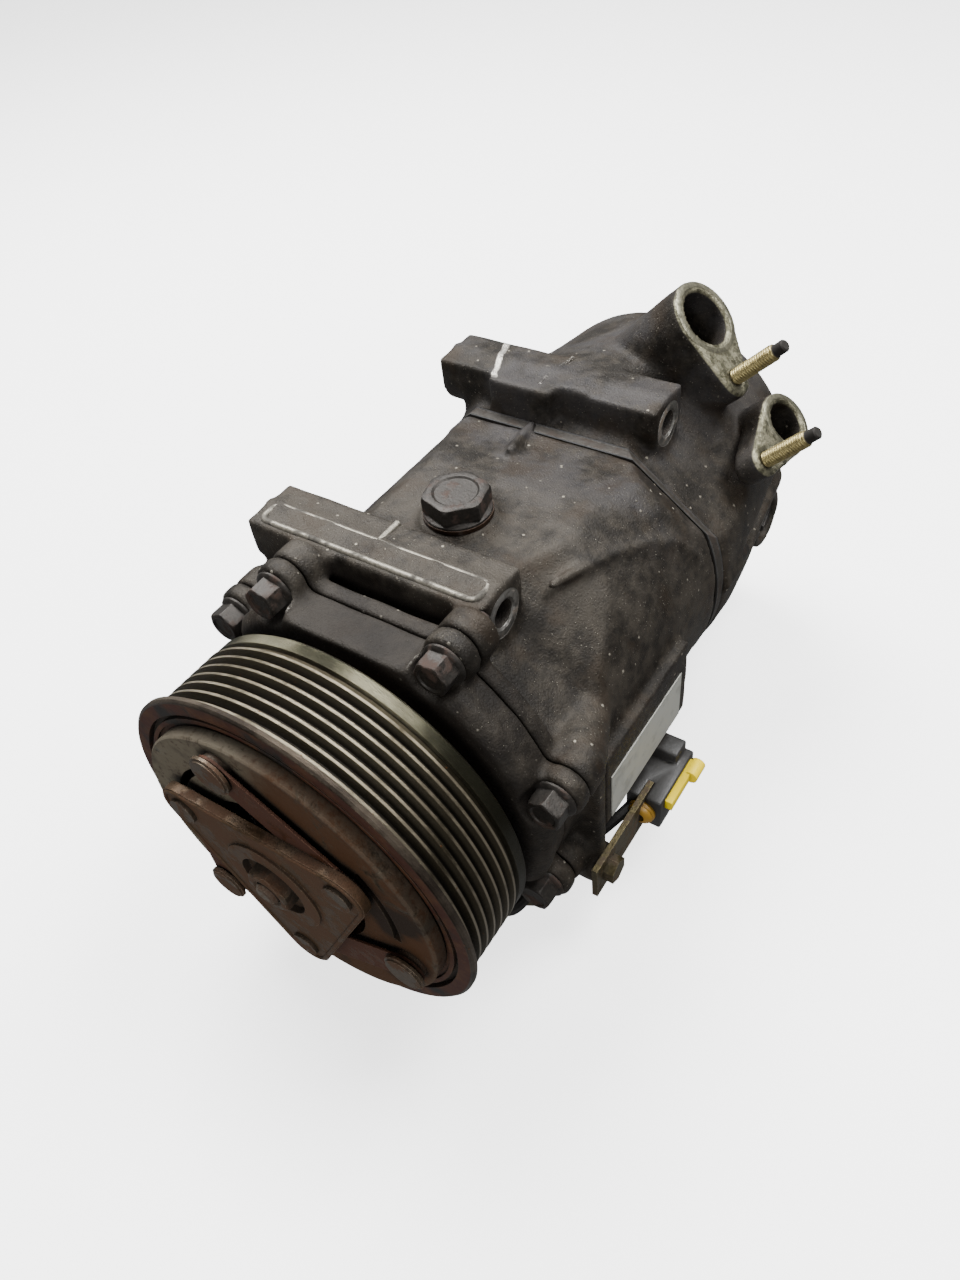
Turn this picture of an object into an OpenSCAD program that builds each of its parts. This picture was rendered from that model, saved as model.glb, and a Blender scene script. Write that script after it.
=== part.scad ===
// Vehicle air-conditioning compressor with its electromagnetic clutch and ribbed belt pulley.
// +Y runs along the shaft from the clutch to the rear head, +Z points to the upper mounting lugs.
// Every station along the shaft is counted from the pulley's front face, and place() then
// moves the whole machine so that the origin lies on the shaft axis at the centre of the belt track.

/* [Pulley and belt track] */
// Diameter of the pulley's front flange
pulley_d = 123.7; // [118:0.1:128]
// Diameter over the rib crests
crest_d = 119; // [114:0.1:119.5]
// Width of the pulley rim
pulley_w = 31.9; // [31:0.1:34]
// Number of belt grooves
groove_n = 6; // [4:1:6]
// Distance between two grooves
groove_pitch = 3.56; // [3.4:0.02:3.6]
// Depth of a groove
groove_depth = 2.7; // [2:0.1:3]
// Distance from the front face to the first rib crest
front_land = 3.4; // [3:0.1:4]
// Thickness of the pulley's friction disc
friction_t = 5; // [4:0.1:5.2]

/* [Pulley bearing] */
// Inner diameter of the bearing
bearing_d_in = 35; // [33:0.5:36]
// Outer diameter of the bearing
bearing_d_out = 55; // [54:0.5:56]
// Width of the bearing
bearing_w = 20; // [19:0.5:20.5]
// Diameter of a bearing ball
ball_d = 6; // [5:0.1:6.4]
// Number of balls in each row
ball_n = 12; // [8:1:13]

/* [Clutch] */
// Diameter of the armature plate
armature_d = 105; // [98:0.5:106]
// Thickness of the armature plate
armature_t = 4.6; // [3.5:0.1:5]
// Air gap between the armature plate and the pulley when the clutch is off
air_gap = 0.55; // [0.55:0.01:0.7]
// Travel of the armature plate towards the pulley
armature_travel = 0.5; // [0.3:0.01:0.5]
// Distance of the hub plate's corner rivets from the shaft axis
hub_corner_r = 34; // [30:0.5:35]
// Thickness of the hub plate
hub_plate_t = 3; // [2.5:0.1:3.4]
// Thickness of a leaf spring
leaf_t = 0.8; // [0.6:0.1:1]
// Distance of the stop buttons from the shaft axis
button_r = 44.5; // [42:0.5:45]
// Diameter of a stop button
button_d = 13.4; // [10:0.2:14]

/* [Castings] */
// Outer diameter of the crankcase barrel
barrel_d = 121; // [119:0.5:124]
// Bore of the crankcase
crank_bore_d = 100; // [99:0.5:101]
// Height of the flat deck between the upper lugs
deck_z = 52; // [51:0.1:53]
// Height of the deck's low end, in front of the rear lug
low_deck_z = 47.5; // [47.3:0.1:48.5]
// Station of the front housing's front face
housing_y = 38; // [37:0.5:40]
// Station of the joint between front housing and crankcase
front_joint_y = 52; // [51:0.5:53]
// Station of the crankcase's rear face
block_rear_y = 157; // [156:0.5:158]
// Station of the rear head's rear face
rear_y = 246; // [244:0.5:250]

/* [Mounting lugs] */
// Bore of a mounting lug
lug_bore_d = 8.7; // [8.4:0.1:9]
// Station of the front lugs
front_lug_y = 72.8; // [72.5:0.1:75]
// Station of the rear lugs
rear_lug_y = 177; // [174:0.5:178]
// Height of the upper lug bores above the shaft axis
lug_z = 50.6; // [50:0.1:52]
// Depth of the lower lug bores below the shaft axis
low_lug_z = 56; // [55.5:0.1:58]
// Left end of the lug bars
lug_left_x = -57.1; // [-60:0.1:-54]
// Right end of the lug bars
lug_right_x = 30.4; // [28:0.1:32]
// Width of a lug bar
lug_w = 21; // [19:0.5:21]

/* [Ports] */
// Distance of the port faces from the shaft axis
port_face = 71; // [69:0.5:73]
// Station of both ports
port_y = 210; // [209:0.5:211]
// Bore of the suction port
suction_d = 20; // [17:0.5:20.5]
// Bore of the discharge port
discharge_d = 15.4; // [12:0.2:16]
// Free length of the fixing studs
stud_free = 22; // [18:0.5:25]
// Thread diameter of the fixing studs
stud_d = 6; // [5:0.5:6]

/* [Shaft and cylinders] */
// Diameter of the shaft
shaft_d = 17; // [16:0.5:18]
// Number of cylinders
cylinder_n = 7; // [5:1:7]
// Diameter of a cylinder bore
cylinder_d = 26.5; // [24:0.1:26.7]
// Distance of the cylinders from the shaft axis
cylinder_r = 34.5; // [34:0.1:34.8]
// Thickness of the swash plate
swash_t = 8; // [7:0.2:9]
// Diameter of the swash plate
swash_d = 83; // [80:0.5:84]
// Number of rollers in a needle bearing
needle_n = 14; // [10:1:16]
// Diameter of a needle roller
needle_d = 3; // [2.5:0.1:3.2]

/* [Fasteners] */
// Width across the flats of the housing bolts
bolt_af = 10; // [9:0.5:12]
// Thread diameter of the housing bolts
bolt_d = 6; // [5:0.1:6.4]
// Distance of the front bolts from the shaft axis
front_bolt_r = 64; // [63:0.5:65]
// Width across the flats of the oil plug
plug_af = 19; // [17:0.5:21]

/* [Electrical] */
// Diameter of the coil's sleeved lead
lead_d = 4; // [3.5:0.1:4.5]

/* [Hidden] */
$fn = 96;

// Running clearance of a shaft, roller or ball in its seat
run_gap = 0.02;
// Clearance of a ball in its race
race_gap = 0.05;
// Clearance between two pieces that are fixed together
seat_gap = 0.1;
// Overshoot of a cutting tool past a face
over = 1;
// Depth by which a straight edge starts inside the round that it runs out of
tuck = 0.02;

track_y = front_land + groove_n * groove_pitch / 2;
crest_r = crest_d / 2;
pulley_r = pulley_d / 2;

// Pulley and rotor
crest_flat = 0.9;
root_flat = 0.5;
back_flange_w = 4.4;
friction_y = 1.2;
rim_wall = 6.3;
rim_r_in = crest_r - groove_depth - rim_wall;
bead_r = armature_d / 2 + 1.3;
ring_groove_w = 1.6;
ring_groove_t = 2.2;
bearing_y = 5;
bearing_r_in = bearing_d_in / 2;
bearing_r_out = bearing_d_out / 2;
rotor_tube_t = 3.4;
rotor_tube_y = 27.4;
rotor_lip = 2;
circlip_t = 1.2;
race_r = (bearing_r_in + bearing_r_out) / 2;
ring_t = 3.1;
row_y = [bearing_y + bearing_w * 0.27, bearing_y + bearing_w * 0.73];
ball_r = ball_d / 2;
cage_web = 0.9;

// Nose of the front housing and the coil on it
nose_y = 1.6;
nose_shoulder_y = bearing_y + bearing_w;
nose_shoulder_r = bearing_r_in + 2.5;
coil_seat_r = 24.4;
coil_seat_y = 27.6;
coil_back_y = pulley_w + 0.6;
coil_back_t = 3;
coil_wall = 2.6;
coil_front_y = friction_y + friction_t + 1.3;
coil_gap = 1.3;
coil_r_in = bearing_r_out + rotor_tube_t + coil_gap;
coil_r_out = rim_r_in - coil_gap;
seal_r = 13;
seal_y = 10;
seal_w = 9;

// Shaft line
shaft_r = shaft_d / 2;
spline_r = 7;
thread_r = 4;
shaft_step_y = 8;
shim_t = 0.5;
nut_af = 14;
nut_seat_y = -8;
nut_t = 5;
armature_back_y = friction_y - air_gap;
armature_y = armature_back_y - armature_t;
armature_r_in = 28;
collar_t = 1.7;
leaf_y = armature_y - collar_t - leaf_t;
hub_plate_y = leaf_y - hub_plate_t;
hub_corner_rc = 8.5;
hub_corner_a = [33, 153, 273];
leaf_turn = 70;
leaf_w = 13;
rivet_r = 2.9;
rivet_gap = 0.3;
needle_r = needle_d / 2;
needle_ring_r = shaft_r + needle_r;
cup_r_in = shaft_r + needle_d;
cup_r_out = cup_r_in + 1.5;
needle_w = 14;
front_needle_y = 27;
rear_needle_y = 120;
shaft_end_y = 140;
thrust_y = front_joint_y + 0.3;
thrust_t = 2.4;
drive_y = thrust_y + thrust_t + 0.1;
drive_t = 11;
drive_r = 38;
swash_y = 94;
swash_r = swash_d / 2;
hinge_y = swash_y - 13;
hinge_z = 18;
hinge_r = 3;
shoe_r = 8.4;
shoe_gap = 0.1;
piston_r = cylinder_d / 2 - 0.05;
piston_w = 16;
yoke_r = 47.4;
yoke_r_in = 26.3;
yoke_lip = 9.5;
block_y = 112;
chamber_top = low_deck_z - 0.4;
front_chamber_top = 39.5;
front_chamber_r = 42;
chamber_step_y = 84;
spigot_bore_r = crank_bore_d / 2 + 1;
spigot_r = spigot_bore_r - seat_gap;
spigot_l = 5;
recess_y = front_joint_y + spigot_l + 1;
shoulder_a = 52.5;
shoulder_r = 50;

// Castings
barrel_r = barrel_d / 2;
flange_r = barrel_r + 1.3;
lobe_r = 8;
lobe_y = 45.5;
lobe_back_y = 61;
front_bolt_a = [16, 62, 118, 145, 196, 240, 285, 330];
bolt_head_t = 6;
bolt_flange_t = 1.4;
bolt_flange_r = bolt_af / 2 + 1.7;
bolt_depth = 12;
recess_z = 44;
recess_x = [-42, 28];
rim_flat_z = 55;
rim_flat_x = 22;
web_inset = 9;
web_z = 22;
step_x = [-33, -8];
step_t = 3.9;
lug_top = 9.5;
pad_x = barrel_r + 3.5;
pad_y = [70, 128];
pad_z = [-27, 6];
plug_x = -4;
plug_y = 101;
plug_z = deck_z + 2.4;
plug_r = 7;
plug_flange_r = 12;
bracket_x = barrel_r + 5.5;
bracket_y = 64;
bracket_z = -40;
bracket_t = 2;
bracket_grip = 7;
connector_x = bracket_x - 5;
connector_y = bracket_y + 25;
connector_w = 13;
connector_l = 26;

// Valve stack and rear head
reed_t = 0.4;
plate_t = 3;
gasket_t = 0.6;
suction_reed_y = block_rear_y + gasket_t;
valve_plate_y = suction_reed_y + reed_t;
discharge_reed_y = valve_plate_y + plate_t;
head_gasket_y = discharge_reed_y + reed_t;
head_y = head_gasket_y + gasket_t;
stack_r = flange_r - 0.8;
rear_bolt_r = 57;
rear_bolt_a = [0, 150, 180, 210, 312];
rear_lobe_r = 6;
rear_seat_y = head_y + 16;
rear_thread_r = 3;
discharge_chamber_r = 27.5;
suction_chamber_r = [30.5, 43];
suction_hole = [cylinder_r + 5, 3.2];
discharge_hole = [cylinder_r - 10, 2.4];
chamber_y = port_y + 10;
suction_q = -31.6;
discharge_q = 14.8;
suction_boss_r = suction_d / 2 + 4.2;
discharge_boss_r = discharge_d / 2 + 3.9;
suction_stud = [suction_q + 21.5, port_y - 7.4];
discharge_stud = [discharge_q + 2, port_y - 22];
suction_ear_r = 7;
discharge_ear_r = 6;
stud_depth = 9;
stud_root_d = stud_d - 1;
valve_r = 8.5;
valve_y = rear_y - 13;
valve_z = -24;
valve_mouth_x = 52;
valve_len = 62;
relief_x = -30;
relief_z = 26;

// Route of the coil's lead, from the coil's back plate to the connector
lead_route = [
    [30, coil_back_y - 0.5, -33], [31, coil_back_y + 2.5, -34.5], [38, coil_back_y + 3, -42],
    [44, 37.5, -49], [46, 42, -51.5], [46.4, 48, -52], [47.5, 56, -52], [52, 66, -50],
    [57, 76, -46], [61, 83, -42], [63.4, connector_y + 0.4, -40]
];
lead_sides = 8;

function polar(r, a) = [r * cos(a), r * sin(a)];

// Moves the machine so that the belt track's centre is the origin
module place() {
    translate([0, -track_y, 0]) children();
}

// Revolves a profile of [radius, station] points about the shaft axis
module turned(profile) {
    rotate([-90, 0, 0]) rotate_extrude() polygon(profile);
}

// Tube along the shaft axis between two stations
module tube(r_in, r_out, y0, y1) {
    turned([[r_in, y0], [r_out, y0], [r_out, y1], [r_in, y1]]);
}

// Solid cylinder along +Y at a place in the cross plane
module rod_y(r, y0, y1, x = 0, z = 0, sides = $fn) {
    translate([x, y0, z]) rotate([-90, 0, 0]) cylinder(r = r, h = y1 - y0, $fn = sides);
}

// Solid cylinder along +X
module rod_x(r, x0, x1, y, z) {
    translate([x0, y, z]) rotate([0, 90, 0]) cylinder(r = r, h = x1 - x0);
}

// Copies placed at angles from +X towards +Z, on a radius about the shaft axis
module around(r, angles) {
    for (a = angles)
        translate([r * cos(a), 0, r * sin(a)]) children();
}

// Copies turned about the shaft axis, each with its own +X pointing outwards
module spun(angles) {
    for (a = angles)
        rotate([0, -a, 0]) children();
}

// Extrudes an outline in the cross plane [x, z] from one station to another
module cross(y0, y1) {
    translate([0, y1, 0]) rotate([90, 0, 0]) linear_extrude(height = y1 - y0) children();
}

// Outline of two circles joined by their outer tangents
module link(c1, r1, c2, r2) {
    d = norm(c2 - c1);
    a = atan2(c2[1] - c1[1], c2[0] - c1[0]);
    b = acos((r1 - r2) / d);
    translate(c1) circle(r = r1);
    translate(c2) circle(r = r2);
    polygon([for (e = [[c1, r1, b], [c1, r1, -b], [c2, r2, -b], [c2, r2, b]])
        e[0] + polar(e[1] - tuck, a + e[2])]);
}

// Rounded triangle with its corners on a circle
module tri(r, rc, angles) {
    for (a = angles)
        translate(polar(r, a)) circle(r = rc);
    polygon([for (a = angles, turn = [-60, 60]) polar(r, a) + polar(rc - tuck, a + turn)]);
}

// Port frame: local z points out of the ports and local x lies across them
module port_frame() {
    rotate([0, 45, 0]) children();
}

// Sweeps a round tube along a list of points
module swept(points, r, sides) {
    n = len(points);
    dirs = [for (i = [0:n - 1]) let (v = points[min(i + 1, n - 1)] - points[max(i - 1, 0)]) v / norm(v)];
    rings = [for (i = [0:n - 1])
        let (t = dirs[i], s = cross_unit(t, [0, 0, 1]), u = cross_unit(s, t))
        each [for (k = [0:sides - 1]) points[i] + r * (cos(360 * k / sides) * s + sin(360 * k / sides) * u)]];
    side_faces = [for (i = [0:n - 2]) each [for (k = [0:sides - 1])
        let (a = i * sides + k, b = i * sides + (k + 1) % sides) [a, b, b + sides, a + sides]]];
    first_cap = [for (k = [sides - 1:-1:0]) k];
    last_cap = [for (k = [0:sides - 1]) (n - 1) * sides + k];
    polyhedron(points = rings, faces = concat(side_faces, [first_cap, last_cap]));
}

function cross_unit(a, b) = let (c = [a[1] * b[2] - a[2] * b[1], a[2] * b[0] - a[0] * b[2],
    a[0] * b[1] - a[1] * b[0]]) c / norm(c);

function bezier_point(a, b, c, d, t) =
    0.5 * (2 * b + (c - a) * t + (2 * a - 5 * b + 4 * c - d) * t * t + (3 * b - a - 3 * c + d) * t * t * t);

// Points of a smooth curve through a route
function smooth(route, steps) = let (n = len(route)) [
    for (i = [0:n - 2]) each [for (k = [0:steps - 1])
        bezier_point(route[max(i - 1, 0)], route[i], route[i + 1], route[min(i + 2, n - 1)], k / steps)],
    route[n - 1]];

// ---- castings ----

// One lug bar across the machine: its flat side is up on the upper pair and down on the lower pair
module lug_bar(y, side) {
    z = side > 0 ? lug_z : low_lug_z;
    width = lug_right_x - lug_left_x;
    mirror([0, 0, side > 0 ? 0 : 1]) {
        rod_x(lug_w / 2, lug_left_x, lug_right_x, y, z);
        translate([lug_left_x, y - lug_w / 2, z]) cube([width, lug_w, lug_top]);
        translate([lug_left_x + web_inset, y - lug_w / 2, z - web_z])
            cube([width - 2 * web_inset, lug_w, web_z]);
    }
}

module lug_bores(y) {
    for (z = [lug_z, -low_lug_z])
        rod_x(lug_bore_d / 2, lug_left_x - over, lug_right_x + over, y, z);
    rod_x(lug_bore_d / 2 + 2, lug_right_x, barrel_r, y, -low_lug_z);
}

// Space outside the castings' skin: above the deck between the upper lugs, and off the shoulder
// to the right of the lug bars, so that the bars' right ends stand free
module outside_skin() {
    front = front_lug_y + lug_w / 2;
    rear = rear_lug_y - lug_w / 2;
    translate([-80, 0, 0]) rotate([90, 0, 90]) linear_extrude(height = 160)
        polygon([[front, deck_z], [front + 42, deck_z], [rear - 17, low_deck_z], [rear, low_deck_z],
            [rear, 90], [front, 90]]);
    rotate([0, 90 - shoulder_a, 0]) translate([-60, 0, 0]) rotate([90, 0, 90]) linear_extrude(height = 120)
        polygon([[recess_y, shoulder_r], [front_lug_y + 4, shoulder_r], [front + 0.6, shoulder_r + 4],
            [front + 27, shoulder_r + 11], [front + 60, shoulder_r + 11], [rear - 3, shoulder_r + 1],
            [rear + lug_w, shoulder_r + 1], [rear + lug_w + 18, shoulder_r + 12],
            [rear + lug_w + 18, 95], [recess_y, 95]]);
}

// Chamber of the swash plate: narrow and flat-topped under the front lug, wide behind it
module swash_chamber() {
    wide = crank_bore_d + 10;
    intersection() {
        rod_y(front_chamber_r, front_joint_y - over, chamber_step_y);
        translate([-wide / 2, front_joint_y - over, -wide / 2])
            cube([wide, chamber_step_y - front_joint_y + over, wide / 2 + front_chamber_top]);
    }
    intersection() {
        rod_y(crank_bore_d / 2, chamber_step_y - over, block_y);
        translate([-wide / 2, chamber_step_y - over, -wide / 2])
            cube([wide, block_y - chamber_step_y + over, wide / 2 + chamber_top]);
    }
}

// Flat on top of the bolted joint, between the two upper bolts
module rim_flat(y0, y1) {
    translate([-rim_flat_x, y0, rim_flat_z]) cube([2 * rim_flat_x, y1 - y0, 30]);
}

module crankcase() {
    color("dimgray") difference() {
        union() {
            difference() {
                union() {
                    turned([[0, front_joint_y], [flange_r - 1, front_joint_y], [barrel_r, front_joint_y + 3],
                        [barrel_r, block_rear_y - 8], [flange_r - 0.8, block_rear_y - 4],
                        [flange_r - 0.8, block_rear_y], [0, block_rear_y]]);
                    translate([40, pad_y[0], pad_z[0]])
                        cube([pad_x - 40, pad_y[1] - pad_y[0], pad_z[1] - pad_z[0]]);
                }
                outside_skin();
                rim_flat(front_joint_y - over, recess_y);
                translate([recess_x[0], recess_y, recess_z])
                    cube([recess_x[1] - recess_x[0], front_lug_y - recess_y, 40]);
            }
            around(front_bolt_r, front_bolt_a)
                rod_y(lobe_r, front_joint_y, lobe_back_y);
            for (side = [-1, 1])
                lug_bar(front_lug_y, side);
            translate([36, bracket_y - 2.5, bracket_z]) cube([30, 5, 48]);
            rod_x(7, 36, bracket_x, bracket_y, bracket_z);
            translate([plug_x, plug_y, deck_z - 4])
                cylinder(r = plug_flange_r + 0.6, h = plug_z - deck_z + 4);
        }
        swash_chamber();
        rod_y(spigot_bore_r, front_joint_y - over, front_joint_y + spigot_l);
        around(cylinder_r, cylinder_angles())
            rod_y(cylinder_d / 2, block_y - over, block_rear_y + over);
        rod_y(cup_r_out, block_y - over, shaft_end_y + 14);
        rod_y(4.5, shaft_end_y, block_rear_y + over);
        lug_bores(front_lug_y);
        around(front_bolt_r, front_bolt_a)
            rod_y(bolt_d / 2, front_joint_y - over, front_joint_y + bolt_depth + 1);
        around(rear_bolt_r, rear_bolt_a)
            rod_y(rear_thread_r, block_rear_y - 14, block_rear_y + over);
        rod_x(2.5, bracket_x - 12, bracket_x + over, bracket_y, bracket_z);
        translate([plug_x, plug_y, chamber_top - 4]) cylinder(r = plug_r, h = 20);
    }
}

module front_housing() {
    color("dimgray") difference() {
        union() {
            turned([[shaft_r + 2, nose_y], [bearing_r_in, nose_y], [bearing_r_in, nose_shoulder_y],
                [nose_shoulder_r, nose_shoulder_y], [nose_shoulder_r, coil_seat_y],
                [coil_seat_r, coil_seat_y], [coil_seat_r, coil_back_y], [31, coil_back_y],
                [34, housing_y], [flange_r - 3, housing_y],
                [flange_r, housing_y + 3], [flange_r, housing_y + 6], [flange_r - 1.6, housing_y + 8],
                [flange_r - 1, front_joint_y], [spigot_r, front_joint_y],
                [spigot_r, front_joint_y + spigot_l - 0.5], [spigot_r - 4, front_joint_y + spigot_l - 0.5],
                [spigot_r - 4, front_joint_y], [shaft_r + 2, front_joint_y]]);
            around(front_bolt_r, front_bolt_a)
                rod_y(lobe_r, lobe_y, front_joint_y);
        }
        rim_flat(housing_y - over, front_joint_y + over);
        rod_y(seal_r, nose_y - over, seal_y + seal_w);
        rod_y(shaft_r + 2.5, seal_y + seal_w - over, front_joint_y + over);
        rod_y(cup_r_out, front_needle_y, front_joint_y + over);
        tube(seal_r - over, seal_r + 0.9, seal_y - circlip_t, seal_y);
        tube(bearing_r_in - 1, bearing_r_in + over, bearing_y - circlip_t, bearing_y);
        tube(coil_seat_r - 1, coil_seat_r + over, coil_back_y - coil_back_t - circlip_t,
            coil_back_y - coil_back_t);
        tube(spigot_r - 1.4, spigot_r + over, front_joint_y + 1, front_joint_y + 3);
        around(front_bolt_r, front_bolt_a)
            rod_y(bolt_d / 2 + 0.3, lobe_y - over, front_joint_y + over);
        around(front_bolt_r, front_bolt_a)
            rod_y(lobe_r - 0.2, housing_y - over, lobe_y);
    }
}

// One port: a round boss with an ear for its stud
module port_boss(q, boss_r, stud, ear_r, foot, ear_foot) {
    port_frame() {
        translate([q, port_y, foot]) cylinder(r = boss_r, h = port_face - foot);
        translate([0, 0, ear_foot]) linear_extrude(height = port_face - ear_foot)
            link([q, port_y], boss_r, stud, ear_r);
    }
}

module rear_head() {
    color("dimgray") difference() {
        union() {
            difference() {
                turned([[0, head_y], [flange_r - 0.8, head_y], [flange_r, head_y + 3],
                    [flange_r, head_y + 15], [flange_r - 2, head_y + 34],
                    [flange_r - 5, head_y + 52], [flange_r - 8, rear_y - 6],
                    [flange_r - 14, rear_y], [0, rear_y]]);
                outside_skin();
            }
            difference() {
                around(rear_bolt_r, rear_bolt_a)
                    rod_y(rear_lobe_r, head_y, rear_seat_y);
                outside_skin();
            }
            for (side = [-1, 1])
                lug_bar(rear_lug_y, side);
            translate([step_x[0], rear_lug_y - lug_w / 2 - step_t, lug_z - 14])
                cube([step_x[1] - step_x[0], step_t + 1, 14 + lug_top]);
            port_boss(suction_q, suction_boss_r, suction_stud, suction_ear_r, 24, 40);
            port_boss(discharge_q, discharge_boss_r, discharge_stud, discharge_ear_r, 24, port_face - 9.5);
            rod_x(valve_r + 4, 20, valve_mouth_x, valve_y, valve_z);
            rod_y(11, rear_y - 20, rear_y + 3, relief_x, relief_z);
        }
        tube(0, discharge_chamber_r, head_y - over, head_y + 6);
        rod_y(discharge_chamber_r - 4, head_y - over, chamber_y - 6);
        difference() {
            tube(suction_chamber_r[0], suction_chamber_r[1], head_y - over, chamber_y);
            port_frame() translate([discharge_q, port_y, 0]) cylinder(r = discharge_d / 2 + 3, h = 90);
        }
        lug_bores(rear_lug_y);
        port_frame() {
            translate([suction_q, port_y, 24]) cylinder(d = suction_d, h = 60);
            translate([discharge_q, port_y, 8]) cylinder(d = discharge_d, h = 80);
            for (s = [suction_stud, discharge_stud])
                translate([s[0], s[1], port_face - stud_depth]) cylinder(d = stud_root_d, h = 30);
        }
        around(rear_bolt_r, rear_bolt_a) {
            rod_y(rear_thread_r + 0.3, head_y - over, rear_y + 20);
            rod_y(rear_lobe_r, rear_seat_y, rear_y + 20);
        }
        rod_x(valve_r, valve_mouth_x - valve_len - 2, valve_mouth_x + over, valve_y, valve_z);
        rod_x(valve_r + 1, valve_mouth_x - 3, valve_mouth_x - 3 + circlip_t, valve_y, valve_z);
        rod_y(5, rear_y - 20, rear_y + 5, relief_x, relief_z);
    }
}

// ---- seals, valve stack and fasteners ----

module front_o_ring() {
    color("black") tube(spigot_r - 1.4, spigot_r - 0.1, front_joint_y + 1.1, front_joint_y + 2.9);
}

function cylinder_angles() = [for (i = [0:cylinder_n - 1]) -90 + 360 * i / cylinder_n];

// Disc of the valve stack, cleared for the head bolts and level with the skin
module stack_disc(y, t) {
    difference() {
        rod_y(stack_r, y, y + t);
        outside_skin();
        around(rear_bolt_r, rear_bolt_a) rod_y(rear_thread_r + 0.3, y - over, y + t + over);
        children();
    }
}

// One round hole for each cylinder through a disc of the stack
module stack_holes(hole, y, t) {
    around(hole[0], cylinder_angles()) rod_y(hole[1], y - over, y + t + over);
}

module block_gasket() {
    color("black") stack_disc(block_rear_y, gasket_t)
        stack_holes([cylinder_r, cylinder_d / 2 + 0.5], block_rear_y, gasket_t);
}

module suction_reeds() {
    color("lightsteelblue") stack_disc(suction_reed_y, reed_t) {
        around(suction_hole[0], cylinder_angles()) reed_slot(suction_reed_y, reed_t);
        stack_holes(discharge_hole, suction_reed_y, reed_t);
    }
}

// Slot round a reed's free end
module reed_slot(y, t) {
    translate([0, y - over, 0]) rotate([-90, 0, 0]) difference() {
        cylinder(r = 5.4, h = t + 2 * over);
        translate([0, 0, -over]) cylinder(r = 4.6, h = t + 4 * over);
        translate([-8, 2, -over]) cube([16, 8, t + 4 * over]);
    }
}

module valve_plate() {
    color("silver") stack_disc(valve_plate_y, plate_t) {
        stack_holes(suction_hole, valve_plate_y, plate_t);
        stack_holes(discharge_hole, valve_plate_y, plate_t);
    }
}

module discharge_reeds() {
    color("lightsteelblue") stack_disc(discharge_reed_y, reed_t)
        stack_holes([suction_hole[0], suction_hole[1] + 0.4], discharge_reed_y, reed_t);
}

module head_gasket() {
    color("black") stack_disc(head_gasket_y, gasket_t) {
        rod_y(discharge_chamber_r, head_gasket_y - over, head_y + over);
        tube(suction_chamber_r[0], suction_chamber_r[1], head_gasket_y - over, head_y + over);
    }
}

// Flanged hexagon bolt along +Y with its head towards -Y
module hex_bolt(af, r, head_y, seat_y, tip_y, flange) {
    rod_y(af / 2 / cos(30), head_y, seat_y - bolt_flange_t + 0.2, sides = 6);
    rod_y(flange, seat_y - bolt_flange_t, seat_y);
    rod_y(r, seat_y - 0.5, tip_y);
}

module front_bolts() {
    color("gray") around(front_bolt_r, front_bolt_a)
        hex_bolt(bolt_af, bolt_d / 2 - 0.05, lobe_y - bolt_head_t - bolt_flange_t, lobe_y,
            front_joint_y + bolt_depth, bolt_flange_r);
}

module rear_bolts() {
    tip_y = block_rear_y - 13;
    color("gray") around(rear_bolt_r, rear_bolt_a) {
        difference() {
            rod_y(5, rear_seat_y, rear_seat_y + 6);
            rod_y(2.5 / cos(30), rear_seat_y + 3, rear_seat_y + 6 + over, sides = 6);
        }
        rod_y(rear_thread_r - 0.05, tip_y, rear_seat_y + 0.5);
    }
}

module oil_plug() {
    color("dimgray") {
        translate([plug_x, plug_y, plug_z + 3.4]) rotate([0, 0, 12])
            cylinder(r = plug_af / 2 / cos(30), h = 5.2, $fn = 6);
        translate([plug_x, plug_y, plug_z + 1.5]) cylinder(r = plug_flange_r, h = 2);
        translate([plug_x, plug_y, plug_z - 9]) cylinder(r = plug_r - 0.05, h = 11);
    }
}

module oil_plug_washer() {
    color("peru") translate([plug_x, plug_y, plug_z]) difference() {
        cylinder(r = plug_flange_r - 0.8, h = 1.5);
        translate([0, 0, -over]) cylinder(r = plug_r + 0.2, h = 4);
    }
}

module port_studs() {
    color("khaki") port_frame()
        for (s = [suction_stud, discharge_stud])
            translate([s[0], s[1], port_face - stud_depth + 0.5]) {
                cylinder(d = stud_root_d - 0.1, h = stud_depth - 0.5);
                translate([0, 0, stud_depth - 0.5]) cylinder(d = stud_d - 0.1, h = stud_free - 4);
                cylinder(d = stud_d - 1.6, h = stud_depth - 0.5 + stud_free);
            }
}

module label_plate() {
    color("gainsboro") translate([pad_x, pad_y[0] + 3, pad_z[0] + 1.5])
        cube([0.4, 49, 21]);
}

module relief_valve() {
    color("goldenrod") {
        rod_y(4.95, rear_y - 14, rear_y + 4, relief_x, relief_z);
        rod_y(14 / 2 / cos(30), rear_y + 3, rear_y + 8, relief_x, relief_z, 6);
    }
}

module control_valve() {
    tip = valve_mouth_x - valve_len;
    color("silver") {
        rod_x(valve_r - seat_gap, valve_mouth_x - 28, valve_mouth_x - 3 - seat_gap / 2, valve_y, valve_z);
        rod_x(valve_r - 1.5, tip, valve_mouth_x - 24, valve_y, valve_z);
        rod_x(valve_r - seat_gap, tip + 8, tip + 16, valve_y, valve_z);
    }
}

// Open retaining ring about an axis along +Z
module circlip(r_in, r_out, t) {
    difference() {
        cylinder(r = r_out, h = t);
        translate([0, 0, -over]) cylinder(r = r_in, h = t + 2 * over);
        translate([0, -2, -over]) cube([r_out + over, 4, t + 2 * over]);
    }
}

module control_valve_circlip() {
    color("silver") translate([valve_mouth_x - 3, valve_y, valve_z]) rotate([0, 90, 0])
        circlip(valve_r - 2.4, valve_r + 0.9, circlip_t - 0.05);
}

// ---- electrical pieces ----

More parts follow.
